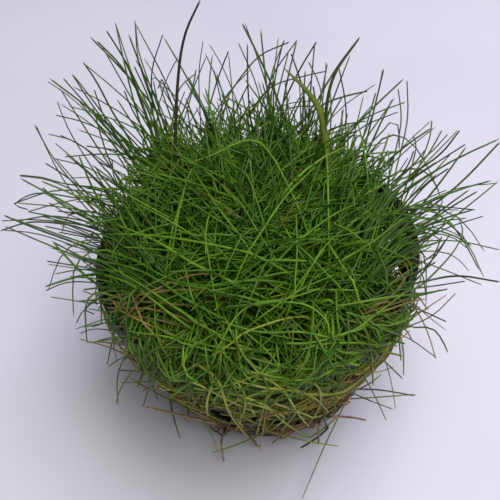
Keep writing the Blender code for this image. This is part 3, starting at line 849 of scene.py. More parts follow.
@dataclass
class BladeBlank:
    """The straight round blade that all blades of a piece are bent from."""

    sides: int = 5
    rings: int = 10
    flatness: float = 0.8
    foot: float = 0.8
    fullest: float = 0.2
    point: float = 0.66
    blunt: float = 0.975

    def __post_init__(self) -> None:
        """Turns the blank and keeps where its points lie."""
        shape = bmesh.new()
        bmesh.ops.create_cone(shape, cap_ends=True, segments=self.sides, radius1=1.0, radius2=1.0, depth=1.0)
        bmesh.ops.translate(shape, vec=(0.0, 0.0, 0.5), verts=shape.verts)
        uprights = [edge for edge in shape.edges if abs(edge.verts[0].co.z - edge.verts[1].co.z) > 0.5]
        bmesh.ops.subdivide_edges(shape, edges=uprights, cuts=self.rings - 1)
        top = [vertex for vertex in shape.verts if vertex.co.z > 1.0 - 0.5 / self.rings]
        bmesh.ops.pointmerge(shape, verts=top, merge_co=(0.0, 0.0, 1.0))
        for face in shape.faces:
            face.smooth = True
        self.mesh = bpy.data.meshes.new("blade_blank")
        shape.to_mesh(self.mesh)
        shape.free()
        self.places = points_of(self.mesh)
        self.ring = np.rint(self.places[:, 2] * self.rings).astype(int)
        self.shares = np.append(np.linspace(0.0, self.blunt, self.rings), 1.0)

    def thickness(self) -> np.ndarray:
        """Gives the share of the full width at each ring.

        Returns:
            A narrow foot, an even middle and a blunt end.
        """
        rising = self.foot + (1.0 - self.foot) * np.clip(self.shares / self.fullest, 0.0, 1.0)
        thinned = np.clip((self.shares - self.fullest) / (1.0 - self.fullest), 0.0, 1.0) ** 2.2
        return rising * (1.0 - (1.0 - self.point) * thinned)

    def bent(self, blade: Blade, side: np.ndarray) -> np.ndarray:
        """Bends the blank along a blade's line.

        Args:
            blade: The blade, whose line has one point for each ring.
            side: A direction across the blade, along which it is widest.

        Returns:
            The places of the blank's points on the bent blade.
        """
        heading = unit(np.gradient(blade.line, axis=0))
        across = unit(side - (heading @ side)[:, None] * heading)
        level = np.cross(heading, across)
        half = (blade.width / 2.0 * self.thickness())[self.ring][:, None]
        flat = self.places[:, :1] * across[self.ring] + self.flatness * self.places[:, 1:2] * level[self.ring]
        return blade.line[self.ring] + half * flat


class Bunch:
    """Single blades that are gathered into one piece."""

    def __init__(self, name: str, blank: BladeBlank, chance: random.Random) -> None:
        """Takes the piece's name, the blank and the source of chance."""
        self.name, self.blank, self.chance, self.core = name, blank, chance, bmesh.new()
        self.blades: list[Blade] = []

    def add_bud(self, foot: Vector, axis: Vector, radius: float, height: float) -> None:
        """Adds a low rounded bud that blades grow from.

        Args:
            foot: Middle of its underside.
            axis: The way that it points.
            radius: Its radius.
            height: Its height.
        """
        ball = bmesh.ops.create_icosphere(self.core, subdivisions=2, radius=1.0)["verts"]
        stretch = Matrix.Diagonal((radius, radius, height, 1.0))
        turn = Vector((0.0, 0.0, 1.0)).rotation_difference(axis).to_matrix().to_4x4()
        bmesh.ops.transform(self.core, matrix=Matrix.Translation(foot) @ turn @ stretch, verts=ball)

    def finish(self, material: bpy.types.Material, slot: str, *nodes: str) -> None:
        """Makes the piece, whose points carry tint, along and age, and settles it.

        Args:
            material: What it is finished with.
            slot: The record's material slot.
            nodes: The solids that it stands for.
        """
        first, count = len(self.core.verts), len(self.blank.places)
        for face in self.core.faces:
            face.smooth = True
        for _ in self.blades:
            self.core.from_mesh(self.blank.mesh)
        thing = made(self.name, self.core, material)
        places = points_of(thing.data)
        bare = {"tint": 0.0, "along": 0.5, "age": 0.2}
        values = {name: np.full(len(places), value) for name, value in bare.items()}
        for number, blade in enumerate(self.blades):
            rows = slice(first + number * count, first + (number + 1) * count)
            side = np.cross(blade.line[-1] - blade.line[0], scatter(self.chance))
            places[rows] = self.blank.bent(blade, unit(side))
            values["tint"][rows], values["age"][rows] = blade.tint, blade.age
            values["along"][rows] = self.blank.shares[self.blank.ring]
        thing.data.vertices.foreach_set("co", places.ravel())
        for name, numbers in values.items():
            kept = thing.data.attributes.new(name, "FLOAT", "POINT")
            kept.data.foreach_set("value", numbers.astype(np.float32))
        thing.data.update()
        settle(thing, slot, *nodes)


@dataclass(frozen=True)
class Growth:
    """How the single blades of a tuft stand round its locks; lengths in metres."""

    mates: int = 2
    total: int = 125
    spread: float = 0.12
    bow: float = 0.10
    width: Span = (0.00025, 0.00042)
    mate_reach: Span = (0.5, 1.0)
    young: Span = (0.008, 0.016)
    old_share: float = 0.005
    root_reach: float = 0.0012
    slack: Span = (0.0003, 0.0018)
    hang: Span = (0.001, 0.008)
    tries: int = 24
    bright_share: float = 0.10
    bright_tint: Span = (0.75, 1.0)
    bright_wider: float = 1.2
    hanging_age: Span = (0.0, 0.22)
    bud_sunk: float = 0.9 * MM
    bud_radius: float = 1.7 * MM
    bud_height: float = 1.2 * MM


class Habit(Enum):
    """The ways of growing: on the plug, and out of a slot."""

    TOP = Growth()
    SIDE = Growth(
        mates=0,
        total=20,
        spread=0.10,
        bow=0.08,
        width=(0.00022, 0.00036),
        young=(0.003, 0.007),
        old_share=0.35,
        root_reach=0.0007,
        slack=(0.0003, 0.0022),
        bud_sunk=1.6 * MM,
        bud_radius=0.9 * MM,
        bud_height=1.8 * MM,
    )


@dataclass(frozen=True)
class GrassOutline:
    """The rounded outline that the dense grass keeps within; lengths in metres, the angle in radians."""

    crown_ring: float = 0.0188
    top: float = 0.0415
    highest: float = 0.0600
    above_top: float = 0.0048
    widest: float = 0.0262
    past_widest: float = 0.0011
    above_back: float = 0.0018
    free_above_back: float = 0.030
    kept_low: float = 0.60
    tries: int = 40
    back_slope: float = 0.75
    corner: float = math.radians(135.0)
    corner_top: float = 0.004
    corner_back: float = 0.0045
    bare_collar_gap: float = 0.0026
    shortest: float = 0.024
    longest: float = 0.036
    front_longer: float = 0.006


@dataclass
class Tuft:
    """One hairgrass plant: a bud and the blades round the locks of its solid."""

    node: str
    habit: Habit
    pot: PotForm
    blank: BladeBlank
    outline: GrassOutline = GrassOutline()
    chance: random.Random = field(init=False)

    def __post_init__(self) -> None:
        """Reads the locks of the solid."""
        self.chance = random.Random(self.node)
        self.growth, self.top = self.habit.value, self.habit is Habit.TOP
        self.locks = lock_lines(self.node)
        self.crown = np.mean([lock[0] for lock in self.locks], axis=0)
        self.heading = unit(np.mean([lock[-1] - lock[0] for lock in self.locks], axis=0))
        self.angle = math.atan2(self.crown[1], self.crown[0])
        self.reach = float(np.linalg.norm(self.crown[:2]))

    def settled(self, line: np.ndarray, slack: float, hang: float | None = None) -> np.ndarray:
        """Moves a line off the pot and the floor, and keeps what hangs below the rim near the pot.

        Args:
            line: Points along a blade, from its foot.
            slack: How far from the pot a hanging part may stand.
            hang: How far below the rim a loose blade may hang at the very front, None for one on its lock.

        Returns:
            The moved line.
        """
        moved, foot = line.copy(), self.pot.bare_foot
        if self.top:
            self.lay_on_rim(moved, slack)
            if hang is not None:
                self.hold_up(moved, hang)
        else:
            if hang is not None:
                moved[:, 2] = foot + np.abs(moved[:, 2] - foot)
            self.lay_on_wall(moved, slack)
        moved[:, 2] = np.maximum(moved[:, 2], 0.5 * MM)
        return moved

    def lay_on_rim(self, line: np.ndarray, slack: float) -> None:
        """Lifts a line over the rim where it leaves the pot, and draws what hangs outside in to the collar.

        Args:
            line: Points along a blade, which are moved.
            slack: How far from the collar a hanging part may stand.
        """
        pot, gap, rise, fall = self.pot, self.pot.gap, 0.7, 1.3
        top, inner, outer = pot.height + gap, pot.collar_radius - pot.wall - gap, pot.rim_radius + gap
        reach = reach_of(line)
        out = np.flatnonzero((reach > inner) & (line[:, 2] < top + 1.0 * MM))
        if not len(out):
            return
        first = out[0]
        before = slice(1, first)
        line[before, 2] = np.maximum(line[before, 2], top - rise * np.maximum(inner - reach[before], 0.0))
        for number in range(first, len(line)):
            far = np.linalg.norm(line[number, :2])
            if line[number, 2] >= top:
                continue
            if far < outer and number <= first + 1:
                line[number, 2] = top
            elif number <= first + 1:
                line[number, 2] = max(line[number, 2], top - fall * (far - pot.rim_radius))
            wanted = min(max(far, outer), outer + slack) if line[number, 2] < top - gap else far
            line[number, :2] *= wanted / far

    def hold_up(self, line: np.ndarray, hang: float) -> None:
        """Keeps a blade from hanging low, the more the further it is from the front.

        Args:
            line: Points along a blade, which are moved.
            hang: How far below the rim it may hang at the very front.
        """
        reach = reach_of(line)
        floor = self.pot.height - hang * np.clip(-line[:, 1] / np.maximum(reach, 1e-9), 0.0, 1.0) ** 2.0
        outside = reach > self.pot.rim_radius
        line[outside, 2] = np.maximum(line[outside, 2], floor[outside])

    def lay_on_wall(self, line: np.ndarray, slack: float) -> None:
        """Keeps a line that has left its slot just outside the wall.

        Args:
            line: Points along a blade, which are moved.
            slack: How far from the wall it may stand.
        """
        pot, gap, reach = self.pot, self.pot.gap, reach_of(line)
        skin = np.where(line[:, 2] < pot.collar_bottom - gap, pot.wall_radius(line[:, 2]), pot.rim_radius)
        wanted = np.clip(reach, skin + gap, skin + gap + slack)
        wanted[:2] = reach[:2]
        line[:, :2] *= (wanted / np.maximum(reach, 1e-9))[:, None]

    def fits(self, line: np.ndarray) -> bool:
        """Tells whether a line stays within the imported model's box, but for a little slack."""
        slack = 0.6 * MM
        return bool((line > LOWEST - slack).all() and (line < HIGHEST + slack).all())

    def aged(self) -> float:
        """Gives a blade's age: most are fresh, a few are old."""
        return self.chance.uniform(0.45, 1.0) if self.chance.random() < self.growth.old_share else 0.0

    def stands_out(self, tip: np.ndarray) -> bool:
        """Tells whether a tip stands out of the dense grass, where blades get a darker tint as painted shade
        of the backlit fringe.
        """
        return bool(np.linalg.norm(tip[:2]) > 1.06 * self.pot.rim_radius or tip[2] > 1.5 * self.pot.height)

    def grown(self, guide: np.ndarray, reach: float, loose: float) -> Blade:
        """Grows one blade along a guide line.

        Args:
            guide: Points that the blade follows, from foot to tip.
            reach: The share of the guide that it grows along.
            loose: How far it may stray, from 0 for a blade that keeps the guide's two ends.

        Returns:
            The blade.
        """
        growth, chance, shares = self.growth, self.chance, self.blank.shares
        length = np.linalg.norm(np.diff(guide, axis=0), axis=1).sum()
        stray = scatter(chance, growth.spread * length * loose)
        bow = np.cross(unit(guide[-1] - guide[0]), scatter(chance, growth.bow * length))
        root = scatter(chance, growth.root_reach) * (1.0 if loose else 0.4)
        root[2] = min(root[2], 0.0) if self.top else root[2]
        slack, hang = 1.0, None
        if loose and np.linalg.norm(guide[-1][:2]) <= self.pot.rim_radius + 3.0 * MM:
            slack, hang = chance.uniform(*growth.slack), chance.uniform(*growth.hang)
        for _ in range(growth.tries):
            along = shares * reach
            line = smooth_line(guide, along) + root * (1.0 - shares)[:, None] + stray * (along**1.5)[:, None]
            line = self.settled(line + bow * np.sin(math.pi * shares)[:, None], slack, hang)
            if self.fits(line):
                break
            reach *= 0.95
        if chance.random() < growth.bright_share:
            tint, wider = chance.uniform(*growth.bright_tint), growth.bright_wider
        else:
            tint, wider = chance.betavariate(1.5, 3.2), 1.0
        # Blades whose tips stand out get half the tint: painted shade for fringe blades seen backlit against
        # the table.
        if self.stands_out(line[-1]):
            tint *= 0.5
        hangs = self.top and line[-1][2] < self.pot.height
        age = max(self.aged(), chance.uniform(*growth.hanging_age) if hangs else 0.0)
        return Blade(line, chance.uniform(*growth.width) * wider, tint, age)

    def swept(self, tilts: Span, turns: Span, length: float) -> np.ndarray:
        """Draws an even arc from the crown.

        Args:
            tilts: How far from upright it points at its foot and at its tip, in radians.
            turns: Which way it points, seen from above, at its foot and at its tip.
            length: Its length.

        Returns:
            Points along the arc.
        """
        steps, line = 6, [self.crown]
        for step in range(steps):
            share = (step + 0.5) / steps
            tilt, turn = (first + (last - first) * share for first, last in (tilts, turns))
            line.append(line[-1] + around(math.sin(tilt), turn, math.cos(tilt)) * length / steps)
        return np.array(line)

    def between(self) -> np.ndarray:
        """Gives a guide that runs between two locks.

        Returns:
            Points along the guide.
        """
        first, second = (self.chance.choice(self.locks) for _ in range(2))
        shares, mix = np.linspace(0.0, 0.8, 5), self.chance.uniform(0.25, 0.75)
        return smooth_line(first, shares) * (1.0 - mix) + smooth_line(second, shares) * mix

    def young(self) -> np.ndarray:
        """Gives the guide of a short young blade near the crown.

        Returns:
            Points along the guide.
        """
        chance = self.chance
        heading = unit(self.heading + scatter(chance, 0.8))
        tilt, turn = math.acos(heading[2]), math.atan2(heading[1], heading[0])
        length = chance.uniform(*self.growth.young)
        tilts = (tilt, tilt + chance.uniform(0.0, 0.7))
        return self.swept(tilts, (turn, turn + chance.gauss(0, 0.4)), length)

    def arching(self) -> np.ndarray:
        """Gives the guide of a long blade that rises and bends over within the plant's rounded outline.

        Returns:
            Points along the guide.
        """
        chance, form = self.chance, self.outline
        edge = min(self.reach / form.crown_ring, 1.0)
        lean = 0.5 - 0.5 * edge * math.sin(self.angle)
        highest = form.top + form.corner_top * edge * max(0.0, math.cos(self.angle - form.corner))
        highest = min(highest + chance.expovariate(1.0 / form.above_top), form.highest)
        widest = form.widest + chance.expovariate(1.0 / form.past_widest)
        thinned_out = form.free_above_back
        if chance.random() < form.kept_low:
            thinned_out = chance.expovariate(1.0 / form.above_back)
        length = chance.uniform(form.shortest, form.longest + form.front_longer * lean)
        for _ in range(form.tries):
            tilt = math.radians(abs(chance.gauss(5.0 + 10.0 * edge, 12.0)))
            last = tilt + math.radians(chance.uniform(10.0, 50.0) + 65.0 * lean)
            turn = self.angle + chance.gauss(0.0, 0.9 + 1.5 * (1.0 - edge) + 0.4 * lean)
            line = self.swept((tilt, last), (turn, turn + chance.gauss(0.0, 0.5 + 0.3 * lean)), length)
            reach = (reach_of(line) + 0.3 * np.maximum(line[:, 2] - self.pot.height, 0.0)).max()
            at = math.degrees(math.atan2(line[-1][1], line[-1][0]))
            kept_in = form.bare_collar_gap if any(low < at < high for low, high in BARE_COLLAR) else 0.0
            low_enough = line[:, 2].max() < highest + 0.15 * line[-1][1]
            if low_enough and reach < widest - kept_in and self.above_back(line) < thinned_out:
                break
            length *= 0.98
        return line

    def above_back(self, line: np.ndarray) -> float:
        """Tells how far a line rises above the dense grass, which falls off towards the back of the pot.

        Args:
            line: Points along a blade.

        Returns:
            The greatest rise, which is below 0 where the line stays within the dense grass.
        """
        form, pot = self.outline, self.pot
        towards = np.cos(np.arctan2(line[:, 1], line[:, 0]) - form.corner)
        corner = form.corner_back * np.maximum(0.0, towards)
        slope = form.back_slope * (pot.rim_radius - line[:, 1])
        return float((line[:, 2] - pot.height - slope - corner).max())

    def draped(self) -> np.ndarray:
        """Gives the guide of a long blade that lies over the rim and sweeps sideways before the collar.

        Returns:
            Points along the guide.
        """
        chance, pot = self.chance, self.pot
        goal = self.angle + chance.choice((-1.0, 1.0)) * chance.uniform(0.05, 1.0)
        goal = max(goal, math.radians(-136.0) + chance.uniform(0.0, 0.5))
        goal = min(goal, math.radians(-28.0) - chance.uniform(0.0, 0.5))
        turns = self.angle + (goal - self.angle) * np.array((0.2, 0.5, 0.8, 1.0))
        rim, out, fall = pot.rim_radius, chance.uniform(0.3, 1.8) * MM, 11.0 * MM * chance.random() ** 1.2
        top = pot.height + chance.uniform(1.0, 6.0) * MM
        return np.array([
            self.crown,
            around((self.reach + rim) / 2.0, turns[0], top),
            around(rim + 0.3 * MM, turns[1], pot.height + chance.uniform(0.5, 2.0) * MM),
            around(rim + out, turns[2], pot.height - 0.35 * fall),
            around(rim + out, turns[3], pot.height - fall),
        ])

    def sweeping(self) -> np.ndarray:
        """Gives the guide of a blade that comes out of its slot and bends along the wall.

        Returns:
            Points along the guide.
        """
        chance, highest = self.chance, 31.0 * MM
        sweep = chance.choice((-1.0, 1.0)) * chance.uniform(0.05, 0.50)
        rise, out = chance.uniform(-3.0, 10.0) * MM, chance.uniform(0.4, 1.8) * MM
        line = [self.crown]
        for share, part in ((0.1, 0.5), (0.4, 1.0), (0.75, 1.0), (1.1, 0.8)):
            height = min(max(float(self.crown[2]) + rise * share, 1.0 * MM), highest)
            radius = float(self.pot.wall_radius(height)) + out * part
            line.append(around(radius, self.angle + sweep * share, height))
        return np.array(line)

    def loose_guide(self) -> np.ndarray:
        """Chooses the guide of a blade that follows no lock.

        Returns:
            Points along the guide.
        """
        pick = self.chance.random()
        if self.top:
            front = max(0.0, -float(self.crown[1])) / self.pot.collar_radius
            drape = 0.55 * max(0.0, front - 0.25) / 0.5 if self.reach > 8.0 * MM else 0.0
            if pick < drape:
                return self.draped()
            if pick < drape + 0.88 * (1.0 - drape):
                return self.arching()
        elif pick < 0.75:
            return self.sweeping()
        return self.young() if self.chance.random() < 0.5 else self.between()

    def build(self, material: bpy.types.Material, slot: str) -> None:
        """Builds the tuft, which is sparser towards the back and in the lower slots.

        Args:
            material: What its blades are finished with.
            slot: The record's material slot.
        """
        growth, chance = self.growth, self.chance
        bunch = Bunch(f"{self.node}_blades", self.blank, chance)
        axis = Vector((0.0, 0.0, 1.0)) if self.top else Vector(self.heading)
        foot = Vector(self.crown) - axis * growth.bud_sunk
        bunch.add_bud(foot, axis, growth.bud_radius, growth.bud_height)
        for lock in self.locks:
            bunch.blades.append(self.grown(lock, 1.0, 0.0))
            for _ in range(growth.mates):
                bunch.blades.append(self.grown(lock, chance.uniform(*growth.mate_reach), 1.0))
        sparse = 0.7 if self.crown[2] < self.pot.upper_slots[0] else 0.0
        if self.top:
            sparse = 0.45 * min(max(float(self.crown[1]) / 0.012, 0.0), 1.0)
        while len(bunch.blades) < growth.total * (1.0 - sparse):
            bunch.blades.append(self.grown(self.loose_guide(), chance.uniform(0.8, 1.0), 0.6))
        bunch.finish(material, slot, self.node)


@dataclass
class NetPot:
    """The tapered basket with its ribs, its slots and its plain collar."""

    form: PotForm
    columns_per_rib: int = 9
    rib_columns: int = 3
    columns_per_spoke: int = 24
    spoke_columns: int = 9
    disc_radius: float = 0.0050
    opening_radius: float = 0.0106
    edge_radius: float = 0.00022

    def profile(self) -> list[Span]:
        """Gives the outer skin as points of (radius, height), from the middle of the base to the rim.

        Returns:
            The points.
        """
        form, foot = self.form, self.form.base_chamfer
        levels = (foot, *form.lower_slots, *form.upper_slots, form.collar_bottom)
        return [
            (self.disc_radius, 0.0),
            (self.opening_radius, 0.0),
            (form.base_radius - foot, 0.0),
            (float(form.wall_radius(foot * 0.3)) - 0.25 * MM, foot * 0.3),
            *((float(form.wall_radius(level)), level) for level in levels),
            (form.collar_radius, form.collar_bottom + form.collar_step),
            (form.rim_radius - 0.2 * MM, form.height - 1.4 * MM),
            (form.rim_radius, form.height - 1.0 * MM),
            (form.rim_radius, form.height),
        ]

    def is_open(self, face: bmesh.types.BMFace) -> bool:
        """Tells whether a face lies where a slot or an opening of the base is.

        Args:
            face: A face of the skin before its turn about the axis.

        Returns:
            True where the skin is open.
        """
        form, centre = self.form, face.calc_center_median()
        columns = form.rib_count * self.columns_per_rib
        column = int((math.atan2(centre.y, centre.x) % math.tau) / (math.tau / columns))
        if centre.z < form.base_chamfer / 4.0:
            in_ring = self.disc_radius < centre.xy.length < self.opening_radius
            return in_ring and column % self.columns_per_spoke >= self.spoke_columns
        in_row = any(low < centre.z < high for low, high in (form.lower_slots, form.upper_slots))
        return in_row and column % self.columns_per_rib >= self.rib_columns

    def build(self, material: bpy.types.Material) -> None:
        """Turns the skin, opens it and gives it its wall and its rounded edges.

        Args:
            material: The moulded plastic.
        """
        form, shape = self.form, bmesh.new()
        turn_profile(shape, self.profile(), form.rib_count * self.columns_per_rib)
        inner = [edge for edge in shape.edges if edge.is_boundary and edge.verts[0].co.z < form.height / 2.0]
        disc = bmesh.ops.contextual_create(shape, geom=inner)["faces"]
        opened = [face for face in shape.faces if face not in disc and self.is_open(face)]
        bmesh.ops.delete(shape, geom=opened, context="FACES")
        bmesh.ops.recalc_face_normals(shape, faces=shape.faces)
        if disc[0].normal.z > 0.0:
            bmesh.ops.reverse_faces(shape, faces=shape.faces)
        bmesh.ops.rotate(shape, cent=(0, 0, 0), matrix=Matrix.Rotation(form.turn, 3, "Z"), verts=shape.verts)
        for face in shape.faces:
            face.smooth = True
        pot = made("slotted_pot", shape, material)
        wall = pot.modifiers.new("wall", "SOLIDIFY")
        wall.thickness, wall.offset, wall.use_even_offset = form.wall, -1.0, True
        edge = pot.modifiers.new("rounded_edges", "BEVEL")
        edge.width, edge.segments, edge.harden_normals = self.edge_radius, 2, True
        edge.limit_method, edge.angle_limit = "ANGLE", math.radians(40.0)
        settle(pot, "black_plastic", "net_pot")


@dataclass
class RootBall:
    """The plug of wool and roots: a lumpy skin with threads that run over it."""

    form: PotForm
    columns: int = 72
    rings: int = 14
    foot: float = 0.0018
    shoulder: float = 0.0256
    top_radius: float = 0.0205
    gap: float = 0.0009
    lump: float = 0.0004
    thread_count: int = 420
    thread_width: Span = (0.00016, 0.00032)
    node: str = "root_ball"

    def radius_at(self, height: float) -> float:
        """Gives the plug's radius at a height."""
        return float(self.form.wall_radius(height)) - self.form.wall * 1.1 - self.gap

    def add_skin(self, shape: bmesh.types.BMesh) -> None:
        """Turns the plug's skin and makes it lumpy.

        Args:
            shape: What it is added to.
        """
        top = self.form.plug_top - 0.1 * MM
        heights = np.linspace(self.foot, self.shoulder - 0.0030, self.rings)
        profile = [(self.radius_at(height), height) for height in heights]
        profile.append((self.radius_at(self.shoulder - 0.0010), self.shoulder))
        profile += [(self.top_radius * share, top) for share in (1.0, 0.8, 0.6, 0.4, 0.2)]
        turn_profile(shape, profile, self.columns)
        bmesh.ops.holes_fill(shape, edges=[edge for edge in shape.edges if edge.is_boundary], sides=0)
        bmesh.ops.recalc_face_normals(shape, faces=shape.faces)
        shape.normal_update()
        for vertex in shape.verts:
            swell = noise.noise(vertex.co * 420.0) + 0.5 * noise.noise(vertex.co * 1300.0)
            vertex.co += vertex.normal * self.lump * 0.7 * (swell - 0.3)

    def side_thread(self, chance: random.Random, shares: np.ndarray) -> np.ndarray:
        """Lays a thread over the plug's side.

        Args:
            chance: The source of chance.
            shares: Where along the thread its points lie, from 0 to 1.

        Returns:
            The thread's points.
        """
        angle, height = chance.uniform(0.0, math.tau), chance.uniform(self.foot + 1.0 * MM, self.shoulder)
        drift, fall, wave = chance.gauss(0.0, 0.35), chance.gauss(0.0, 0.006), chance.uniform(0.0, math.tau)
        line = []
        for share in shares:
            z = height + fall * share + 0.0006 * math.sin(6.0 * share + wave)
            z = min(max(z, self.foot), self.shoulder)
            turn = angle + drift * share + 0.03 * math.sin(9.0 * share + wave)
            line.append(around(self.radius_at(z) + 0.00012 + 0.0002 * math.sin(5.0 * share + wave), turn, z))
        return np.array(line)

    def top_thread(self, chance: random.Random, shares: np.ndarray) -> np.ndarray:
        """Lays a thread over the plug's top.

        Args:
            chance: The source of chance.
            shares: Where along the thread its points lie, from 0 to 1.

        Returns:
            The thread's points.
        """
        level, stride = self.form.plug_top, 0.9 * MM
        line = [around(self.top_radius * math.sqrt(chance.random()), chance.uniform(0.0, math.tau), level)]
        way, curl = chance.uniform(0.0, math.tau), chance.gauss(0.0, 1.5)
        for share in shares[1:]:
            line.append(line[-1] + around(stride, way + curl * share, 0.0))
        points = np.array(line)
        points[:, :2] *= np.minimum(1.0, self.top_radius / np.maximum(reach_of(points), 1e-9))[:, None]
        points[:, 2] = level + 0.0001 + 0.0003 * np.sin(shares * math.pi)
        return points

    def build(self, material: bpy.types.Material) -> None:
        """Builds the plug and its threads as one piece.

        Args:
            material: The matted wool.
        """
        chance, blank = random.Random(self.node), BladeBlank(sides=4, rings=7, flatness=1.0)
        bunch = Bunch("matted_plug", blank, chance)
        self.add_skin(bunch.core)
        for number in range(self.thread_count):
            lay = self.side_thread if number % 4 else self.top_thread
            line = lay(chance, blank.shares)
            bunch.blades.append(Blade(line, chance.uniform(*self.thread_width), chance.uniform(0.4, 1.6)))
        bunch.finish(material, "rockwool", self.node)


@dataclass
class RootTangle:
    """A tangle of loose roots and old blades in a low slot."""

    node: str
    pot: PotForm
    thread_count: int = 22
    lock_width: float = 0.00040
    width: Span = (0.00018, 0.00036)

    def build(self, material: bpy.types.Material) -> None:
        """Builds the tangle round the locks of its solid.

        Args:
            material: What the roots are finished with.
        """
        chance, blank = random.Random(self.node), BladeBlank(sides=4, rings=9, flatness=1.0)
        bunch, shares = Bunch(f"{self.node}_threads", blank, chance), blank.shares
        grower = Tuft(self.node, Habit.SIDE, self.pot, blank)
        for lock in grower.locks:
            bunch.blades.append(Blade(smooth_line(lock, shares), self.lock_width, chance.random()))
        while len(bunch.blades) < self.thread_count:
            guide = grower.sweeping() if chance.random() < 0.3 else chance.choice(grower.locks)
            line = grower.grown(guide, chance.uniform(0.5, 1.0), 1.0).line
            phase, swing = chance.uniform(0.0, math.tau), chance.uniform(0.2, 0.8) * MM
            curl = np.stack([np.sin(shares * 9.0 + phase + axis * 2.1) for axis in range(3)], axis=1)
            line = grower.settled(line + curl * swing * shares[:, None], chance.uniform(0.2, 1.8) * MM)
            bunch.blades.append(Blade(line, chance.uniform(*self.width), chance.random()))
        bunch.finish(material, "tan_root", self.node)


@dataclass
class Runners:
    """Creeping runners, roots and old blades that lie over the wall any way, each from a slot."""

    pot: PotForm
    name: str
    count: int
    angles: Span
    length: Span
    width: Span
    curl: float
    proud: Span = (0.0001, 0.0013)
    lower_share: float = 0.5
    lowest: float = 0.0034
    sunk: float = 1.3 * MM

    def line(self, chance: random.Random, shares: np.ndarray) -> np.ndarray:
        """Lays one runner over the wall, from inside a slot outwards.

        Args:
            chance: The source of chance.
            shares: Where along the runner its points lie, from 0 to 1.

        Returns:
            The runner's points.
        """
        pot, pitch, inset = self.pot, math.tau / self.pot.rib_count, 1.0 * MM
        row = pot.lower_slots if chance.random() < self.lower_share else pot.upper_slots
        slot = math.floor((chance.uniform(*self.angles) - pot.turn) / pitch) * pitch
        angle = slot + pot.turn + pitch * 2.0 / 3.0 + chance.uniform(-0.25, 0.25) * pitch
        height = chance.uniform(row[0] + inset, row[1] - inset)
        heading, bend = chance.uniform(0.0, math.tau), chance.gauss(0.0, self.curl)
        length, out = chance.uniform(*self.length), chance.uniform(*self.proud)
        phase = chance.uniform(0.0, math.tau)
        points, before = [], 0.0
        for share in shares:
            step, way = (share - before) * length, heading + bend * share
            height += math.sin(way) * step
            if height < self.lowest:
                heading, bend, height = -heading, -bend, 2.0 * self.lowest - height
            height = min(height, pot.collar_bottom - 0.5 * MM)
            skin = float(pot.wall_radius(height))
            angle += math.cos(way) * step / skin
            leaving = max(0.0, 1.0 - share * 6.0)
            stands = pot.gap + out * (0.6 + 0.4 * math.sin(5.0 * share + phase))
            points.append(around(skin + (1.0 - leaving) * stands - leaving * self.sunk, angle, height))
            before = share
        return np.array(points)

    def build(self, material: bpy.types.Material, slot: str) -> None:
        """Builds the runners as one piece.

        Args:
            material: What they are finished with.
            slot: The record's material slot.
        """
        chance, blank = random.Random(self.name), BladeBlank(sides=4, rings=10, flatness=1.0)
        bunch = Bunch(self.name, blank, chance)
        for _ in range(self.count):
            age = chance.uniform(0.3, 1.0) if chance.random() < 0.3 else 0.0
            line = self.line(chance, blank.shares)
            bunch.blades.append(Blade(line, chance.uniform(*self.width), chance.random(), age))
        bunch.finish(material, slot)


@dataclass
class Stem:
    """A single stout stem, with what parts from it: a path, a width in millimetres and a tint each."""

    name: str
    node: str
    slot: str
    blank: BladeBlank
    parts: tuple[tuple[Path, float, float], ...]

    def build(self, material: bpy.types.Material) -> None:
        """Builds the stem.

        Args:
            material: What it is finished with.
        """
        bunch = Bunch(self.name, self.blank, random.Random(self.node))
        for path, width, tint in self.parts:
            line = smooth_line(np.array(path) * MM, self.blank.shares)
            bunch.blades.append(Blade(line, width * MM, tint))
        bunch.finish(material, self.slot, self.node)


@dataclass(frozen=True)
class PhotoCamera:
    """The camera of the picture: above the front edge of the table, turned a little."""

    aim: Point = (0.0, 0.0, 0.0330)
    distance: float = 0.140
    elevation: float = math.radians(44.0)
    roll: float = math.radians(-6.2)
    lens: float = 62.4
    sensor: float = 36.0
    shift: Span = (-0.012, -0.006)
    picture: float = 500.0

    def axes(self) -> tuple[Vector, Vector, Vector]:
        """Gives three directions.

        Returns:
            The picture's rightward and upward directions, and the way that the camera looks.
        """
        ahead = Vector((0.0, math.cos(self.elevation), -math.sin(self.elevation)))
        right = Vector((1.0, 0.0, 0.0))
        across = right * math.cos(self.roll) + right.cross(ahead) * math.sin(self.roll)
        return across, -ahead.cross(across), ahead

    def place(self) -> Vector:
        """Gives the place of the camera."""
        return Vector(self.aim) - self.axes()[2] * self.distance

    def sight(self, pixel: np.ndarray) -> np.ndarray:
        """Gives the direction in which the camera sees a pixel of the picture.

        Args:
            pixel: The pixel, counted from the picture's top left corner.

        Returns:
            The direction, of length 1.
        """
        across, upward, ahead = self.axes()
        right = pixel[0] - self.picture * (0.5 - self.shift[0])
        down = pixel[1] - self.picture * (0.5 + self.shift[1])
        focus = self.picture * self.lens / self.sensor
        return unit(np.array(ahead * focus + across * right - upward * down))

    def build(self) -> None:
        """Places the camera and makes it the scene's camera."""
        lens = bpy.data.cameras.new("photo_camera")
        lens.lens, lens.sensor_width = self.lens, self.sensor
        lens.shift_x, lens.shift_y = self.shift
        lens.clip_start, lens.clip_end = 0.005, 20.0
        camera = placed("photo_camera", lens)
        across, upward, ahead = self.axes()
        turn = Matrix((across, upward, -ahead)).transposed().to_4x4()
        camera.matrix_world = Matrix.Translation(self.place()) @ turn
        bpy.context.scene.camera = camera


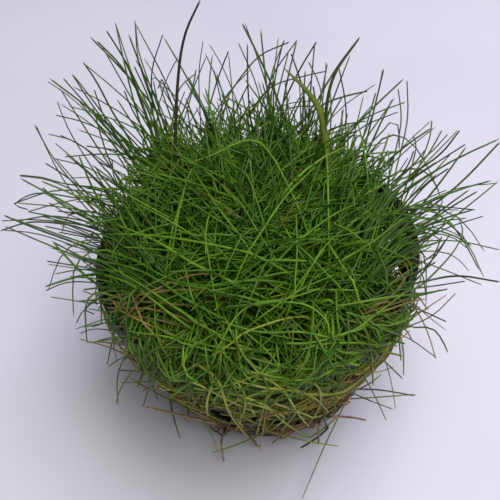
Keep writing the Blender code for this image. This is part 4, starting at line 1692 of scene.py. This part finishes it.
@dataclass(frozen=True)
class Mound:
    """The rounded outline of the dense grass, and of the pot's wall below it, as one smooth form."""

    pot: PotForm
    camera: PhotoCamera
    reach: float = 0.0268
    height: float = 0.0160
    tilt: float = 0.15
    clearance: float = 0.0016
    nearest: float = 0.080
    furthest: float = 0.200
    steps: int = 900

    def share_out(self, points: np.ndarray) -> np.ndarray:
        """Gives how far out each point lies.

        Args:
            points: The points, one row each.

        Returns:
            One share for each point, where 1 is on the outline.
        """
        pot, height = self.pot, points[:, 2]
        skin = np.where(height > pot.collar_bottom, pot.rim_radius, pot.wall_radius(height))
        widest = np.where(height - pot.height > 0.0, self.reach, skin + self.clearance)
        rise = np.maximum(height - pot.height, 0.0) / (self.height + self.tilt * points[:, 1])
        return np.hypot(reach_of(points) / widest, rise)

    def seen(self, pixel: np.ndarray, proud: float) -> np.ndarray:
        """Finds what a pixel shows: where its line of sight meets the outline, or passes it closest.

        Args:
            pixel: The pixel.
            proud: How far nearer to the camera the point is taken.

        Returns:
            The point.
        """
        sight = self.camera.sight(pixel)
        along = np.linspace(self.nearest, self.furthest, self.steps)
        points = np.array(self.camera.place()) + sight * along[:, None]
        share = self.share_out(points)
        met = np.flatnonzero(share < 1.0)
        return points[met[0] if len(met) else share.argmin()] - sight * proud


@dataclass
class Strays:
    """Single blades that stand out in the picture, each laid along its pixels over the mound."""

    name: str
    traces: tuple[Trace, ...]
    width: Span
    tint: Span
    depth: float
    mound: Mound
    feet: list[np.ndarray]
    proud: float = 0.0008
    samples: int = 8
    off_floor: float = 0.0003

    def foot_of(self, line: np.ndarray) -> np.ndarray:
        """Chooses the crown or slot that a blade can best come from: a near one that it heads for.

        Args:
            line: The blade's points, from where it sinks into the rest to its tip.

        Returns:
            The foot.
        """
        sinking, gaps = unit(line[0] - line[1]), [foot - line[0] for foot in self.feet]
        costs = [np.linalg.norm(gap) - 0.03 * float(unit(gap) @ sinking) for gap in gaps]
        return self.feet[int(np.argmin(costs))]

    def laid(self, trace: Trace, shares: np.ndarray, chance: random.Random) -> np.ndarray:
        """Lays one blade over the mound, and leads it on in an even bend to its foot.

        Args:
            trace: The blade's pixels.
            shares: Where along the blade its points lie, from 0 to 1.
            chance: The source of chance.

        Returns:
            The blade's points, from its foot.
        """
        pixels = even_line(np.array(trace[::-1], float), np.linspace(0.0, 1.0, self.samples))
        line = np.array([self.mound.seen(pixel, self.proud) for pixel in pixels])
        away = np.array([self.mound.camera.sight(pixel) for pixel in pixels])
        line += away * (chance.gauss(0.0, self.depth) * np.linspace(0.0, 1.0, len(line)) ** 1.5)[:, None]
        foot = self.foot_of(line)
        gap = float(np.linalg.norm(line[0] - foot))
        control = line[0] + unit(line[0] - line[1]) * 0.4 * gap
        bend = 0.25 * foot + 0.5 * control + 0.25 * line[0]
        line = even_line(np.vstack([foot, bend, line]), shares)
        return np.clip(line, LOWEST + (0.0, 0.0, self.off_floor), HIGHEST)

    def build(self, material: bpy.types.Material, slot: str) -> None:
        """Builds the blades as one piece.

        Args:
            material: What they are finished with.
            slot: The record's material slot.
        """
        chance = random.Random(self.name)
        blank = BladeBlank(sides=6, rings=28, flatness=0.85, foot=0.7, fullest=0.2, point=0.7, blunt=0.99)
        bunch = Bunch(self.name, blank, chance)
        for trace in self.traces:
            line = self.laid(trace, blank.shares, chance)
            bunch.blades.append(Blade(line, chance.uniform(*self.width), chance.uniform(*self.tint)))
        bunch.finish(material, slot)


@dataclass(frozen=True)
class SoftLight:
    """One large soft lamp that is aimed at the plant."""

    name: str
    place: Point
    size: float
    power: float
    colour: Point
    aim: Point = (0.0, 0.0, 0.03)

    def build(self) -> None:
        """Hangs the lamp."""
        lamp = bpy.data.lights.new(self.name, "AREA")
        lamp.shape, lamp.size, lamp.energy, lamp.color = "DISK", self.size, self.power, self.colour
        thing = placed(self.name, lamp)
        thing.location = self.place
        thing.rotation_mode = "QUATERNION"
        thing.rotation_quaternion = (Vector(self.aim) - Vector(self.place)).to_track_quat("-Z", "Y")


@dataclass
class Studio:
    """The table, the lamps and the pale room round them."""

    half_side: float = 1.6
    room: tuple[float, ...] = (0.80, 0.80, 0.80, 1.0)
    room_strength: float = 0.07
    lamps: tuple[SoftLight, ...] = (
        SoftLight("lamp_above", (0.24, 0.03, 0.86), 0.66, 4.5, (1.0, 0.98, 0.98)),
        SoftLight("lamp_in_front", (0.16, -0.41, 0.74), 0.55, 4.1, (1.0, 0.99, 0.90)),
        SoftLight("window_right", (0.50, 0.30, 0.42), 0.38, 1.0, (0.70, 0.68, 1.0)),
    )

    def build(self, material: bpy.types.Material) -> None:
        """Builds the table top, the lamps and the room's light.

        Args:
            material: What the table is finished with.
        """
        shape = bmesh.new()
        bmesh.ops.create_grid(shape, x_segments=8, y_segments=8, size=self.half_side)
        table = made("table_top", shape, material)
        world = bpy.data.worlds.new("pale_room")
        world.use_nodes = True
        glow = world.node_tree.nodes["Background"]
        glow.inputs["Color"].default_value = self.room
        glow.inputs["Strength"].default_value = self.room_strength
        bpy.context.scene.world = world
        for lamp in self.lamps:
            lamp.build()


def main() -> None:
    """Builds the camera, the studio and every piece of the plant."""
    logging.basicConfig(level=logging.INFO, format="%(name)s: %(message)s")
    bpy.context.scene.view_settings.view_transform = "Standard"
    pot, camera, effects, blank = PotForm(), PhotoCamera(), SharedEffects(), BladeBlank()
    camera.build()
    looks = {look: look.value.material(effects) for look in Look}
    roots = looks[Look.ROOTS]
    Studio().build(looks[Look.TABLE])
    NetPot(pot).build(looks[Look.PLASTIC])
    RootBall(pot).build(looks[Look.WOOL])
    round_blank = BladeBlank(sides=8, rings=26, flatness=0.9, foot=1.15, fullest=0.1, point=0.5)
    stalk = Stem("dark_stalk", "brown_stalk", "brown_stalk", round_blank, ((STALK, 0.58, 0.5),))
    stalk.build(looks[Look.BARK])
    flat_blank = BladeBlank(sides=8, rings=22, flatness=0.55, foot=0.9, fullest=0.35, point=0.15)
    forked = ((BROAD, 1.6, 0.7), (BROAD_FORK, 0.8, 0.0))
    Stem("forked_blade", "broad_blade", "olive_blade", flat_blank, forked).build(looks[Look.BROAD])
    left, middle, right = (math.radians(angle) for angle in (185.0, 278.0, 350.0))
    fine, coarse = (0.00022, 0.00038), (0.00026, 0.00042)
    olive_mat = Runners(
        pot,
        "olive_runners",
        120,
        angles=(left, right),
        length=(0.007, 0.018),
        width=coarse,
        curl=1.3,
        proud=(0.0003, 0.0017),
        lower_share=0.0,
        lowest=0.0105,
    )
    olive_mat.build(looks[Look.OLIVE], "olive_blade")
    tan_mat = Runners(pot, "tan_runners", 100, (middle, right - 0.5), (0.004, 0.012), fine, 2.0)
    tan_mat.build(roots, "tan_root")
    back_mat = Runners(pot, "back_runners", 110, (0.0, left), (0.005, 0.014), fine, 1.5)
    back_mat.build(roots, "tan_root")
    crowns, slots = [], []
    for node in sorted(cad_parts):
        if node.startswith("tuft"):
            tuft = Tuft(node, Habit.TOP, pot, blank)
            tuft.build(looks[Look.GREEN], "green_blade")
            crowns.append(tuft.crown)
        elif node.startswith("side_tuft"):
            tuft = Tuft(node, Habit.SIDE, pot, blank)
            tuft.build(looks[Look.OLIVE], "olive_blade")
            slots.append(tuft.crown)
        elif node.startswith("root_bundle"):
            RootTangle(node, pot).build(roots)
    mound, edge = Mound(pot, camera), LEFT_BLADES + TOP_BLADES + RIGHT_BLADES
    fresh, olive = "green_blade", "olive_blade"
    # The thick dark, outline and low strays take the darker copy of the green blades: painted shade of blades
    # seen backlit.
    for name, traces, width, tint, depth, feet, look, slot in (
        ("thick_dark_strays", THICK_DARK_BLADES, (0.40, 0.48), (0.0, 0.4), 4.0, crowns, Look.SHADE_PAINTED, fresh),
        ("outline_strays", edge, (0.26, 0.36), (0.0, 1.0), 6.0, crowns, Look.SHADE_PAINTED, fresh),
        ("low_strays", LOW_DARK_BLADES, (0.24, 0.34), (0.0, 1.0), 2.0, slots, Look.SHADE_PAINTED, olive),
        ("bright_arcs", BRIGHT_ARCS, (0.31, 0.43), (0.30, 0.85), 0.0, crowns, Look.GREEN, fresh),
        ("front_arcs", FRONT_ARCS, (0.32, 0.44), (0.35, 0.95), 0.0, crowns, Look.GREEN, fresh),
        ("yellow_arcs", YELLOW_BLADES, (0.34, 0.44), (0.1, 0.8), 0.0, slots, Look.YELLOWED, olive),
        ("browned_blades", BROWNED_BLADES, (0.28, 0.40), (0.0, 1.0), 0.0, crowns, Look.BROWNED, olive),
    ):
        thin, thick = width
        strays = Strays(name, traces, (thin * MM, thick * MM), tint, depth * MM, mound, feet)
        strays.build(looks[look], slot)


if __name__ == "__main__":
    main()
